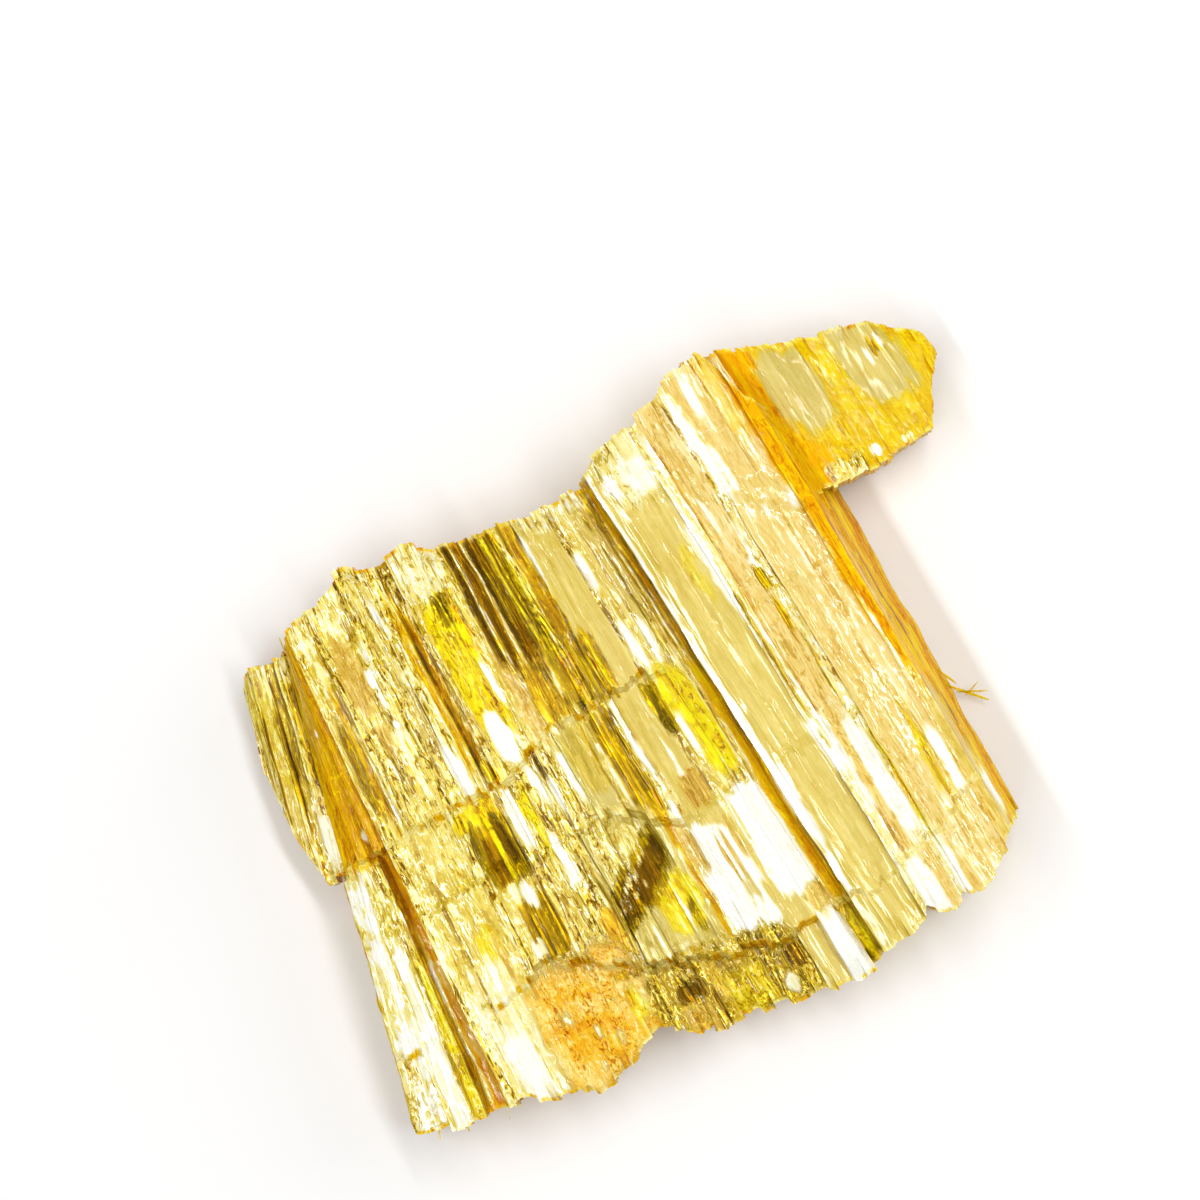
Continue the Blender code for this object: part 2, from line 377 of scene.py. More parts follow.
TERRACE_LENGTH, TERRACE_SPREAD = 7.0, 4.5  # millimetres
STRAND_LENGTH, STRAND_SPREAD = 2.4, 1.5
START_SPREAD = 9  # how many terraces or strands the first one may be shifted by
PIECE_WEIGHT, TERRACE_WEIGHT = 0.6, 0.4  # in what is drawn for a plate

PATCH_END_RAGGEDNESS = 0.5  # millimetres
SEAM_WIDTH, SEAM_WHOLE, SEAM_TURN = (0.32, 0.12), (-0.7, -0.1), (0.0, 0.2)
SEAM_STRENGTH = 0.8
LUSTRE_SPREAD = (0.9, 0.2)  # a finish's lustre in a plate of middle tone, and what its tone adds
LINING_SPREAD, LINING_RANGE = (0.75, 0.9), (0.15, 1.2)

TONE_HEIGHT = 0.3  # share of a plate's height that goes with its tone
LEAST_RELIEF = 0.06  # share of the relief that mineral without ridging has
TANGLE_REACH, TANGLE_STEP = 24, 6  # columns over which tangled mineral is levelled
CHIP_DEPTH, CHIP_LENGTH = 0.6, 1.6  # millimetres

FIBRE_DEPTH, STRAND_DEPTH, PLATE_SHINE = 0.7, 1.3, 0.5  # weights of what is drawn for each
TONE_DEEPENING = (0.05, 0.30)  # of a plate, and what ridging adds
FIBRE_DEEPENING = (0.6, 1.2)  # of a fibre, and what darkness adds
HOLLOW_SHADING = (0.4, 1.1)  # painted shade in hollows, and what ridging adds
HOLLOW_REACH, HOLLOW_STEP = 9, 3  # columns that a point's height is compared with
HOLLOW_DROP, HOLLOW_CLEARANCE = (0.05, 0.7), (0.1, 0.5)  # below these columns, and from a fracture
# Painted glints: where the shine pattern makes the colour pale, and how strongly.
SHINING, SHINE_STRENGTH = (0.42, 0.60), 3.2
DEEPEST = 2.6

EDGE_STRENGTH = (0.25, 1.2)  # of the painted shade and highlight lines along plates, and what ridging adds
# Painted shade at the foot of a step and painted highlight on its upper edge: drop, width, breaks and
# strength of each.
FOOT_DROP, FOOT_WIDTH, FOOT_BREAKS, FOOT_SHADE_STRENGTH = (0.02, 0.25), (0.30, 0.02), (0.15, 0.8), 2.2
BRINK_DROP, BRINK_WIDTH, BRINK_BREAKS, BRINK_HIGHLIGHT_STRENGTH = (0.02, 0.15), (0.11, 0.03), (0.7, 0.3), 2.5
PLATE_STEP, RING_STEP, SHEET_STEP = 3.7, 7.3, 5.3  # between neighbours, in the patterns along them
EDGE_LENGTH, RIM_LENGTH, SHEET_LENGTH = 1.6, 2.5, 3.0  # sizes of these patterns

SHEET_HEIGHTS = (0.08, 0.97)
SHEET_GAP = 0.006  # between two sheets, as a share of the rim's height
SHEET_LOOKS = (STRAW, YELLOW, AMBER, ORANGE, HONEY)
SHEET_SPREAD, SHEET_DRIFT = 0.35, 0.45  # from the middle look, for each sheet and along it
SHEET_LUSTRE = 0.25
FIBRE_BACK = 0.25  # share of its standing back by which a fibre may differ
FLANK_BACK = 0.6  # standing back of the rims along the laths, as a share of that at their ends
TANGLED_STRETCH = 2.5  # how much shorter the streaks are in tangled mineral

# Directions across and along the laths, for the way that they bend.
BEND_SIDE = np.array((0.851, 0.525))
BEND_RUN = np.array((0.525, -0.851))


@dataclass(frozen=True)
class Lath:
    """One lath of a pack.

    Attributes:
        share: Its part of the width between two rails.
        left: Height of its left edge.
        right: Height of its right edge.
        drops: How far each block between two fractures lies below that, from the far block on.
        far: How far it reaches past the far end of its rails.
        near: How far it reaches past the near end.
        look: Its surface.
    """

    share: float
    left: float
    right: float
    drops: tuple[float, ...]
    far: float
    near: float
    look: Look


@dataclass(frozen=True)
class Columns:
    """The columns of a pack's grid, as arrays with one value for each.

    Attributes:
        across: Where it lies, counted in rails.
        mark: Where it lies, counted in the pack's marks.
        place: Where it lies in its lath, from 0 to 1.
        side: Where it lies in its plate, from -1 to 1.
        breadth: Width of its plate, in millimetres.
        plate: Number of its plate.
        fibre: Number of its fibre.
        lath: Number of its lath.
    """

    across: np.ndarray
    mark: np.ndarray
    place: np.ndarray
    side: np.ndarray
    breadth: np.ndarray
    plate: np.ndarray
    fibre: np.ndarray
    lath: np.ndarray


@dataclass(frozen=True)
class Grid:
    """Where each point of a pack's grid lies, as arrays of rows by columns.

    Attributes:
        plan: Its place in plan.
        across: Its distance across the laths.
        along: Its distance along them.
        drop: How far the block that it is in lies below the height of its lath.
        piece: Which unbroken piece of its lath it is in.
        from_fracture: Its distance from the nearest fracture or broken end.
        from_end: Its distance from the pack's nearest broken end.
    """

    plan: np.ndarray
    across: np.ndarray
    along: np.ndarray
    drop: np.ndarray
    piece: np.ndarray
    from_fracture: np.ndarray
    from_end: np.ndarray


@dataclass(frozen=True)
class Surface:
    """What a pack's upper surface is at each point of its grid."""

    grid: Grid
    height: np.ndarray
    finish: Finish


@dataclass
class Pack:
    """A pack of laths between rails, as one closed mesh.

    Attributes:
        name: Name of its object.
        rails: Far end and near end of each line that the laths follow.
        bands: The laths between each two rails.
        marks: The value of across at each rail, from which fractures and patches are counted.
        fractures: Lines of (across, along) points where the laths are broken across.
        ramps: Length over which the height changes at each fracture.
        patches: Stretches with a look of their own.
        floor: Height of its lower face.
        seed: Picks its fibres.
        seam: Two looks that take turns along a fracture, the first a pale painted highlight on its broken
            edge.
        plate_width: Least and greatest width of the plates that a lath is made of.
        fibre_width: Least and greatest width of the fibres that a plate is made of.
        column_gap: Greatest distance between two columns of the grid.
        row_gap: Distance between two rows.
        relief: Height that a plate may stand above or below its lath, and a fibre above or below its plate.
        lean: Greatest lean of a plate to one side, in degrees.
        least_step: Least change of height that makes a fracture show in a lath.
        longest_step: Greatest length of that change at which the fracture shows.
        slant: How far a lath's ends slant towards those of the laths beside it, from 0 to 0.5.
        sheets: How many broken sheets show in its rims.
        stand_back: How far a sheet's edge may stand back behind the pack's outline.
        end_raggedness: How much further a plate may reach than its lath, and a fibre than its plate.
        fracture_raggedness: How far a fracture may lie from its line in a plate, and in a fibre.
        columns: The columns of its grid.
    """

    name: str
    rails: Sequence[Rail]
    bands: Sequence[Sequence[Lath]]
    marks: Sequence[float]
    fractures: Sequence[Sequence[Point]] = ()
    ramps: Sequence[float] = ()
    patches: Sequence[Patch] = ()
    floor: float = 0.0
    seed: int = 1
    seam: tuple[Look, Look] = (CHALK, AMBER)
    plate_width: Point = (0.35, 1.7)
    fibre_width: Point = (0.08, 0.40)
    column_gap: float = 0.11
    row_gap: float = 0.15
    relief: Point = (0.11, 0.022)
    lean: float = 14.0
    least_step: float = 0.15
    longest_step: float = 0.5
    slant: float = 0.4
    sheets: int = 6
    stand_back: float = 0.7
    end_raggedness: Point = (0.20, 0.07)
    fracture_raggedness: Point = (0.35, 0.12)
    columns: Columns = field(init=False)

    def __post_init__(self) -> None:
        """Split the laths into plates and fibres, with two columns or more for each fibre."""
        picker = np.random.default_rng(self.seed)
        rows = []
        plate = fibre = 0
        for lath, (band, start, end) in enumerate(self.lath_places()):
            breadth = (end - start) * self.rail_distance(band)
            for left, right in pairwise(random_edges(picker, breadth, self.plate_width)):
                width = (right - left) * breadth
                edges = random_edges(picker, width, self.fibre_width)
                for low, high in pairwise(left + (right - left) * edges):
                    gap = (high - low) * breadth
                    count = max(2, 1 + math.ceil(gap / self.column_gap))
                    for place in np.linspace(INSET / breadth, (gap - INSET) / breadth, count) + low:
                        side = 2.0 * (place - left) / (right - left) - 1.0
                        rows.append((start + (end - start) * place, place, side, width, plate, fibre, lath))
                    fibre += 1
                plate += 1
        across, place, side, width, *numbers = np.array(rows).T
        mark = np.interp(across, np.arange(len(self.rails)), self.marks)
        self.columns = Columns(across, mark, place, side, width, *(number.astype(int) for number in numbers))

    @property
    def laths(self) -> list[Lath]:
        """All its laths, from left to right."""
        return [lath for band in self.bands for lath in band]

    def lath_places(self) -> Iterator[tuple[int, float, float]]:
        """The band of each lath, and where it begins and ends, counted in rails."""
        for band, laths in enumerate(self.bands):
            start = float(band)
            for lath in laths:
                end = min(start + lath.share, band + 1.0)
                yield band, start, end
                start = end

    def rail_distance(self, band: int) -> float:
        """Distance between the two rails of a band, half way along them."""
        left, right = (Vector(far).lerp(near, 0.5) for far, near in self.rails[band : band + 2])
        return (right - left).length

    def rail_ends(self, across: np.ndarray) -> tuple[np.ndarray, np.ndarray]:
        """Far and near end of the line at each value of across, as arrays of plan points."""
        count = np.arange(len(self.rails))
        ends = np.array(self.rails)
        return tuple(
            np.stack([np.interp(across, count, ends[:, end, axis]) for axis in (0, 1)], -1) for end in (0, 1)
        )

    def drawn(self, draw: Draw, *keys: np.ndarray) -> np.ndarray:
        """Values from -1 to 1, scattered by whole numbers that go together."""
        return scatter(self.seed + draw, *keys)

    def rippled(self, ripple: Ripple, grid: Grid, scale: Numbers = 1.0) -> np.ndarray:
        """A smooth pattern's values over the grid, at its usual height or a number of times that."""
        return ripple.over(self.seed, grid.across, grid.along, scale)

    def per_plate(self, grid: Grid, draw: Draw) -> np.ndarray:
        """A value for each plate that changes at the fractures and at the ends of its terraces."""
        plate = self.columns.plate
        length = TERRACE_LENGTH + TERRACE_SPREAD * self.drawn(Draw.TERRACE_LENGTH, plate)
        terrace = np.floor(grid.along / length + START_SPREAD * self.drawn(Draw.TERRACE_START, plate))
        plate = np.broadcast_to(plate, terrace.shape)
        of_piece = PIECE_WEIGHT * self.drawn(draw, plate, grid.piece)
        return of_piece + TERRACE_WEIGHT * scatter(self.seed + draw + 1, plate, terrace)

    def reach(self, name: str, draw: Draw) -> np.ndarray:
        """How far each column reaches past an end of its rails.

        Args:
            name: The end, far or near.
            draw: Picks the raggedness.

        Returns:
            Distances, slanting from each lath's own reach towards the next one's.
        """
        reaches = np.array([getattr(lath, name) for lath in self.laths])
        lath, place = self.columns.lath, self.columns.place
        beside = np.clip(lath + np.where(place < 0.5, -1, 1), 0, len(reaches) - 1)
        slanted = reaches[lath] + self.slant * np.abs(2 * place - 1) * (reaches[beside] - reaches[lath])
        for_plate, for_fibre = self.end_raggedness
        plates = for_plate * self.drawn(draw, self.columns.plate)
        return slanted + plates + for_fibre * (self.drawn(draw, self.columns.fibre) - 1.0)

    def borders(self, lengths: np.ndarray) -> np.ndarray:
        """Where each column begins, crosses each fracture and ends.

        Args:
            lengths: Length of each column's line.

        Returns:
            Values of along, one row for each border and one column for each column of the grid.
        """
        plate, fibre = self.columns.plate, self.columns.fibre
        for_plate, for_fibre = self.fracture_raggedness
        rows = [-self.reach("far", Draw.FAR_REACH) / lengths]
        for number, fracture in enumerate(self.fractures):
            crossing = np.full(fibre.shape, number)
            shift = for_plate * self.drawn(Draw.FRACTURE, plate, crossing)
            shift = shift + for_fibre * self.drawn(Draw.FRACTURE, fibre, crossing)
            rows.append(np.interp(self.columns.mark, *zip(*fracture)) + shift / lengths)
        rows.append(1.0 + self.reach("near", Draw.NEAR_REACH) / lengths)
        for before, row in pairwise(rows):
            np.maximum(row, before + LEAST_BLOCK, out=row)
        return np.array(rows)

    def grid(self) -> Grid:
        """Lay out the grid."""
        far, near = self.rail_ends(self.columns.across)
        lengths = np.linalg.norm(near - far, axis=1)
        borders = self.borders(lengths)
        last = len(borders) - 2
        drops = np.array([lath.drops for lath in self.laths])[self.columns.lath]
        change = np.pad(np.diff(drops, axis=1), ((0, 0), (1, 1)))
        ramps = np.array([1.0, *self.ramps, 1.0])
        parted = (np.abs(change) > self.least_step) & (ramps < self.longest_step)
        parted[:, [0, -1]] = True
        piece = np.cumsum(parted, axis=1)
        rows = []
        for block, (first, end) in enumerate(pairwise(borders)):
            whole = (end - first) * lengths
            for share in self.row_places(float(np.mean(whole))):
                passed, ahead = whole * share, whole * (1.0 - share)
                before = 0.5 * change[:, block] * ease(ramps[block] / 2, 0.0, passed)
                after = 0.5 * change[:, block + 1] * ease(ramps[block + 1] / 2, 0.0, ahead)
                from_end = np.minimum(passed + FAR_OFF * (block > 0), ahead + FAR_OFF * (block < last))
                behind = passed + FAR_OFF * ~parted[:, block]
                from_fracture = np.minimum(behind, ahead + FAR_OFF * ~parted[:, block + 1])
                drop = drops[:, block] - before + after
                rows.append((first * lengths + passed, drop, piece[:, block], from_fracture, from_end))
        along, drop, piece, from_fracture, from_end = (np.array(one) for one in zip(*rows))
        plan = self.bent(far + (near - far) * (along / lengths)[..., None])
        across = np.cumsum(np.append(0.0, np.linalg.norm(np.diff(far + near, axis=0), axis=1) / 2))
        across = np.broadcast_to(across, along.shape)
        return Grid(plan, across, along, drop, piece, from_fracture, from_end)

    def row_places(self, length: float) -> np.ndarray:
        """Where the rows of a block lie, as shares of its length, in millimetres."""
        shares = np.linspace(0.0, 1.0, max(3, round(length / self.row_gap)))
        shares = np.sort([*shares, RIM_ROW * shares[1], 1.0 - RIM_ROW * shares[1]])
        return shares * (1.0 - CRACK / max(length, 0.1))

    @staticmethod
    def bent(plan: np.ndarray) -> np.ndarray:
        """Bend the straight lines of laths a little, in the same way for every pack."""
        across, along = plan @ BEND_SIDE, plan @ BEND_RUN
        shift = Ripple.BROAD_BEND.over(0, across, along) + Ripple.NARROW_BEND.over(0, across, along)
        return plan + shift[..., None] * BEND_SIDE

    def surface(self) -> Surface:
        """Work out the upper surface."""
        grid = self.grid()
        finish = Finish.of_grid(self.finishes(grid))
        tone = self.per_plate(grid, Draw.PLATE_TONE)
        height = self.heights(grid, finish, tone)
        body = deepened(finish.body, self.depths(grid, finish, tone, height))
        lustre = np.clip(finish.lustre * spread(LUSTRE_SPREAD, tone), 0.0, 1.0)
        uneven = spread(LINING_SPREAD, self.per_plate(grid, Draw.PLATE_ETCHING))
        etching = finish.etching * np.clip(uneven, *LINING_RANGE)
        return Surface(grid, height, replace(finish, body=body, lustre=lustre, etching=etching))

    def finishes(self, grid: Grid) -> np.ndarray:
        """The row of finish values at each grid point, from its lath, the patches over it and the seams."""
        table = np.array([lath.look.mixable() for lath in self.laths])
        values = np.broadcast_to(table[self.columns.lath], (*grid.along.shape, table.shape[1])).copy()
        ragged = self.rippled(Ripple.PATCH_BORDER, grid)
        for number, patch in enumerate(self.patches):
            cover = self.cover(grid, patch, number, ragged)
            values += cover[..., None] * (patch.look.mixable() - values)
        # Along each fracture, a pale painted highlight on the broken edge, and in stretches the second seam
        # look over it.
        whole = ease(*SEAM_WHOLE, self.rippled(Ripple.SEAM_GAPS, grid))
        broken = ease(*SEAM_WIDTH, grid.from_fracture) * whole
        turn = ease(*SEAM_TURN, self.rippled(Ripple.SEAM_TURN, grid))
        for look, share in zip(self.seam, (SEAM_STRENGTH, turn)):
            values += (share * broken)[..., None] * (look.mixable() - values)
        values[..., :3] = np.maximum(np.exp(values[..., :3]) - BLACK, 0.0)
        return values

    def cover(self, grid: Grid, patch: Patch, number: int, ragged: np.ndarray) -> np.ndarray:
        """How fully a patch covers each grid point.

        Args:
            grid: The grid.
            patch: The patch.
            number: Its number, which picks its ragged ends.
            ragged: How far its border lies inside its line, in widths of its fading.

        Returns:
            Values from 0 to 1.
        """
        far, near = self.rail_ends(self.columns.across)
        lengths = np.linalg.norm(near - far, axis=1)
        reach = self.drawn(Draw.PATCH_END, self.columns.fibre, np.full(lengths.shape, number))
        left, right = (self.distance_across(grid, mark) for mark in patch.across)
        begin, end = patch.along[0] * lengths, patch.along[1] * lengths
        half = max(0.5 * (right - left), 0.001)
        offset = grid.across - 0.5 * (left + right)
        side = np.abs(offset) / half
        down = np.abs(2.0 * (grid.along - patch.lean * offset) - begin - end) - PATCH_END_RAGGEDNESS * reach
        down = np.maximum(down / (end - begin), 0.0)
        rim = (side**patch.squareness + down**patch.squareness) ** (1 / patch.squareness)
        inside = (1.0 - rim) * half + patch.fading * ragged
        return patch.strength * ease(-0.5 * patch.fading, 0.5 * patch.fading, inside)

    def distance_across(self, grid: Grid, mark: float) -> float:
        """Where a mark lies across the pack, in millimetres, also beyond its sides."""
        marks, across = self.columns.mark, grid.across[0]
        inner = min(max(mark, marks[0]), marks[-1])
        scale = (across[-1] - across[0]) / (marks[-1] - marks[0])
        return float(np.interp(inner, marks, across)) + scale * (mark - inner)

    def heights(self, grid: Grid, finish: Finish, tone: np.ndarray) -> np.ndarray:
        """Height of each grid point.

        Args:
            grid: The grid.
            finish: The finish of each point.
            tone: How light or dark its plate is, which also says how high it stands.

        Returns:
            The heights.
        """
        columns = self.columns
        left, right = (np.array([getattr(lath, side) for lath in self.laths]) for side in ("left", "right"))
        height = left[columns.lath] + (right - left)[columns.lath] * columns.place - grid.drop
        fibre, plate = (np.broadcast_to(one, grid.along.shape) for one in (columns.fibre, columns.plate))
        plate_height = TONE_HEIGHT * tone + (1.0 - TONE_HEIGHT) * self.per_plate(grid, Draw.PLATE_HEIGHT)
        relief = self.relief[0] * plate_height
        relief = relief + self.relief[1] * self.drawn(Draw.FIBRE_HEIGHT, fibre, grid.piece)
        slope = math.tan(math.radians(self.lean)) * self.per_plate(grid, Draw.PLATE_LEAN)
        relief = relief + slope * columns.side * columns.breadth / 2
        height = height + spread((LEAST_RELIEF, 1.0 - LEAST_RELIEF), finish.ridging) * relief
        for ripple, scale in (
            (Ripple.BROAD_SWELL, 1.0),
            (Ripple.NARROW_SWELL, 1.0),
            (Ripple.STRIAE, finish.ridging),
            (Ripple.CRUMPLE, finish.crumple),
            (Ripple.LUMPS, finish.tangling),
        ):
            height = height + self.rippled(ripple, grid, scale)
        last = height.shape[1] - 1
        steps = np.arange(-TANGLE_REACH, TANGLE_REACH + 1, TANGLE_STEP)
        beside = np.clip(np.arange(last + 1)[None, :] + steps[:, None], 0, last)
        height = height + finish.tangling * (height[:, beside].mean(axis=1) - height)
        height = height + self.rippled(Ripple.SMALL_LUMPS, grid, finish.tangling)
        chipped = ease(0.0, 1.0, self.drawn(Draw.CHIP, plate, grid.piece))
        return height - chipped * CHIP_DEPTH * ease(CHIP_LENGTH, 0.0, grid.from_end)

    def depths(self, grid: Grid, finish: Finish, tone: np.ndarray, height: np.ndarray) -> np.ndarray:
        """How deep the colour is at each grid point.

        Args:
            grid: The grid.
            finish: The finish of each point.
            tone: How light or dark its plate is, from about -1 to 1.
            height: Its height.

        Returns:
            Doublings of the way that light goes in the mineral, with painted shade and painted glints added:
            0 for the finish's own colour.
        """
        straight = 1.0 - finish.tangling
        dark = 1.0 - paleness(finish.body)
        fibre = np.broadcast_to(self.columns.fibre, grid.along.shape)
        fibre_tone = FIBRE_DEPTH * self.drawn(Draw.FIBRE_TONE, fibre, grid.piece)
        fibre_tone = fibre_tone + self.rippled(Ripple.FIBRE_DEPTH, grid)
        strands = STRAND_DEPTH * self.strand_depths(grid) + self.rippled(Ripple.FLECKS, grid)
        deep = finish.variegation * strands * straight
        deep = deep + self.rippled(Ripple.TANGLED_DEPTH, grid, finish.tangling)
        deep = deep - spread(TONE_DEEPENING, finish.ridging) * straight * tone
        deep = deep - spread(FIBRE_DEEPENING, dark) * finish.ridging * straight * fibre_tone
        # Painted shade in hollows: a point below the columns around it gets deeper colour, standing partly
        # also for the mineral's deeper orange there.
        padded = np.pad(height, ((0, 0), (HOLLOW_REACH, HOLLOW_REACH)), mode="edge")
        steps = range(0, 2 * HOLLOW_REACH + 1, HOLLOW_STEP)
        around = np.mean([padded[:, step : step + height.shape[1]] for step in steps], axis=0)
        hollow_shade = ease(*HOLLOW_DROP, around - height) * ease(*HOLLOW_CLEARANCE, grid.from_fracture)
        deep = deep + spread(HOLLOW_SHADING, finish.ridging) * hollow_shade
        # Painted glints: the colour turns pale where the shine patterns are high.
        shine = self.rippled(Ripple.SHINE, grid) + PLATE_SHINE * self.per_plate(grid, Draw.PLATE_SHINE)
        shine = shine + self.rippled(Ripple.FINE_SHINE, grid)
        deep = deep - SHINE_STRENGTH * finish.glinting * ease(*SHINING, shine)
        return np.clip(deep + self.edge_shade_and_highlights(grid, finish, height), -DEEPEST, DEEPEST)

    def strand_depths(self, grid: Grid) -> np.ndarray:
        """How much deeper or paler the colour is in each stretch of each strand, a pair of fibres."""
        strand = self.columns.fibre // 2
        length = STRAND_LENGTH + STRAND_SPREAD * self.drawn(Draw.STRAND_LENGTH, strand)
        start = START_SPREAD * self.drawn(Draw.STRAND_START, strand)
        segment = np.floor(grid.along / length + start + self.rippled(Ripple.STRAND_WANDER, grid))
        return self.drawn(Draw.STRAND_DEPTH, np.broadcast_to(strand, segment.shape), segment) ** 3

    def edge_shade_and_highlights(self, grid: Grid, finish: Finish, height: np.ndarray) -> np.ndarray:
        """How much deeper the colour is in a line of painted shade at the foot of each step, and paler in a
        painted highlight on its upper edge.
        """
        plate = self.columns.plate
        first = np.searchsorted(plate, plate)
        end = np.searchsorted(plate, plate, side="right") - 1
        foot, brink_highlight = np.zeros(height.shape), np.zeros(height.shape)
        seed = self.seed + Draw.EDGE_BREAKS
        breaks = 0.5 + 0.5 * swell(seed, plate * PLATE_STEP, grid.along / EDGE_LENGTH, 2)
        for edge, beside in ((first, np.maximum(first - 1, 0)), (end, np.minimum(end + 1, len(plate) - 1))):
            step = height[:, edge] - height[:, beside]
            distance = np.abs(grid.across - grid.across[:, edge])
            foot = np.maximum(foot, ease(*FOOT_DROP, -step) * ease(*FOOT_WIDTH, distance))
            brink_highlight = np.maximum(brink_highlight, ease(*BRINK_DROP, step) * ease(*BRINK_WIDTH, distance))
        foot = FOOT_SHADE_STRENGTH * foot * ease(*FOOT_BREAKS, breaks)
        brink_highlight = BRINK_HIGHLIGHT_STRENGTH * brink_highlight * ease(*BRINK_BREAKS, breaks)
        return np.minimum(spread(EDGE_STRENGTH, finish.ridging), 1.0) * (foot - brink_highlight)

    def build(self) -> bpy.types.Object:
        """Make the pack's mesh and object."""
        top = self.surface()
        rows, columns = top.height.shape
        shape = bmesh.new()
        bmesh.ops.create_grid(shape, x_segments=columns - 1, y_segments=rows - 1, size=1.0)
        keys = {name: shape.verts.layers.int.new(name) for name in ("row", "column", "ring")}
        for vertex in shape.verts:
            vertex[keys["column"]] = round((vertex.co.x + 1.0) / 2.0 * (columns - 1))
            vertex[keys["row"]] = round((vertex.co.y + 1.0) / 2.0 * (rows - 1))
        rings = self.rings()
        rim = [edge for edge in shape.edges if edge.is_boundary]
        for ring in range(1, len(rings)):
            lowered = bmesh.ops.extrude_edge_only(shape, edges=rim)["geom"]
            rim = [part for part in lowered if isinstance(part, bmesh.types.BMEdge) and part.is_boundary]
            for vertex in {vertex for edge in rim for vertex in edge.verts}:
                vertex[keys["ring"]] = ring
        bmesh.ops.contextual_create(shape, geom=rim)
        sort_parts(shape)
        mesh = bpy.data.meshes.new(self.name)
        shape.to_mesh(mesh)
        shape.free()
        self.place(mesh, top, rings)
        return finish_mesh(self.name, mesh)

    def rings(self) -> list[Point]:
        """Share of the height and standing back of each ring of the rims, from the top edge down."""
        picker = np.random.default_rng(self.seed + Draw.SHEETS)
        heights = np.sort(picker.uniform(*SHEET_HEIGHTS, self.sheets - 1))[::-1]
        rings = [(1.0, 0.0)]
        for upper, lower in pairwise([1.0, *heights, 0.0]):
            back = 0.0 if upper == 1.0 else self.stand_back * picker.uniform(0.0, 1.0)
            rings.extend([(upper - SHEET_GAP, back), (lower + SHEET_GAP, back)])
        return rings

    def place(self, mesh: bpy.types.Mesh, top: Surface, rings: list[Point]) -> None:
        """Move the mesh's vertices to their places and write what its material reads.

        Args:
            mesh: The mesh, with the row, column and ring of each vertex.
            top: The pack's upper surface.
            rings: Share of the height and standing back of each ring.
        """
        row, column, ring = (taken(mesh, name) for name in ("row", "column", "ring"))
        position = np.hstack([top.grid.plan[row, column], top.height[row, column][:, None]])
        grain = np.stack([top.grid.across[row, column], top.grid.along[row, column], position[:, 2]], -1)
        grain[:, 0] += Ripple.GRAIN_WANDER.over(self.seed, grain[:, 0], grain[:, 1])
        grain[:, 1] *= 1.0 + TANGLED_STRETCH * top.finish.tangling[row, column]
        share, back = np.array(rings)[ring].T
        of_fibre = self.drawn(Draw.STANDING_BACK, self.columns.fibre[column], ring)
        own = back * spread((1.0 - FIBRE_BACK, FIBRE_BACK), of_fibre)
        below = ring > 0
        inward = self.inward(top, (row, column, ring), grain, own, back)
        position[:, :2] += np.where(below[:, None], inward, 0.0)
        grain[:, :2] += np.where(below, own, 0.0)[:, None]
        position[:, 2] = self.floor + (position[:, 2] - self.floor) * share
        grain[:, 2] = position[:, 2]
        body = np.where(below[:, None], self.sheet_colours(ring, grain), top.finish.body[row, column])
        lustre = np.where(below, SHEET_LUSTRE, top.finish.lustre[row, column])
        others = {name: getattr(top.finish, name)[row, column] for name in PLAIN_VALUES}
        write_surface(mesh, position, grain, body, {"lustre": lustre, **others})

    def inward(
        self, top: Surface, places: Sequence[np.ndarray], grain: np.ndarray, own: np.ndarray, back: np.ndarray
    ) -> np.ndarray:
        """How far each vertex of the rims stands back, as plan vectors.

        Args:
            top: The pack's upper surface.
            places: The row, column and ring of each vertex.
            grain: Its coordinates on the grain.
            own: How far it stands back at an end.
            back: How far its ring does.

        Returns:
            The vectors, zero away from the rims.
        """
        row, column, ring = places
        last_row, last_column = (count - 1 for count in top.height.shape)
        far, near = self.rail_ends(self.columns.across[column])
        run = (near - far) / np.linalg.norm(near - far, axis=1)[:, None]
        side = np.stack([-run[:, 1], run[:, 0]], -1)
        wander = swell(self.seed + Draw.FLANK_WANDER, grain[:, 1] / RIM_LENGTH, ring * RING_STEP, 2)
        flank = np.where((row > 0) & (row < last_row), back * (0.5 + 0.5 * wander) * FLANK_BACK, 0.0)
        at_end = (row == 0).astype(float) - (row == last_row)
        at_side = (column == last_column).astype(float) - (column == 0)
        return run * at_end[:, None] * own[:, None] + side * at_side[:, None] * flank[:, None]

    def sheet_colours(self, ring: np.ndarray, grain: np.ndarray) -> np.ndarray:
        """The colour of the rims at each vertex, which changes from sheet to sheet and along each sheet."""
        sheet = (ring + 1) // 2
        stretch = (grain[:, 0] + grain[:, 1]) / SHEET_LENGTH
        mix = 0.5 + SHEET_SPREAD * self.drawn(Draw.SHEET_COLOUR, sheet)
        mix = mix + SHEET_DRIFT * swell(self.seed + Draw.SHEET_DRIFT, sheet * SHEET_STEP, stretch, 3)
        places = (len(SHEET_LOOKS) - 1.0) * np.clip(mix, 0.0, 1.0)
        numbers = range(len(SHEET_LOOKS))
        channels = np.transpose([look.mixable()[:3] for look in SHEET_LOOKS])
        return np.exp(np.stack([np.interp(places, numbers, channel) for channel in channels], -1))


# ---------------------------------------------------------------------------------------------------------
# Meshes

PLAIN_VALUES = ("roughness", "etching", "sparkle", "crossing")  # those that the rims have too
SHARP_ANGLE = math.radians(24.0)  # between two faces, from which their edge is sharp
SPLINTER_STEP = 7.0  # from the grain of one splinter to that of the next


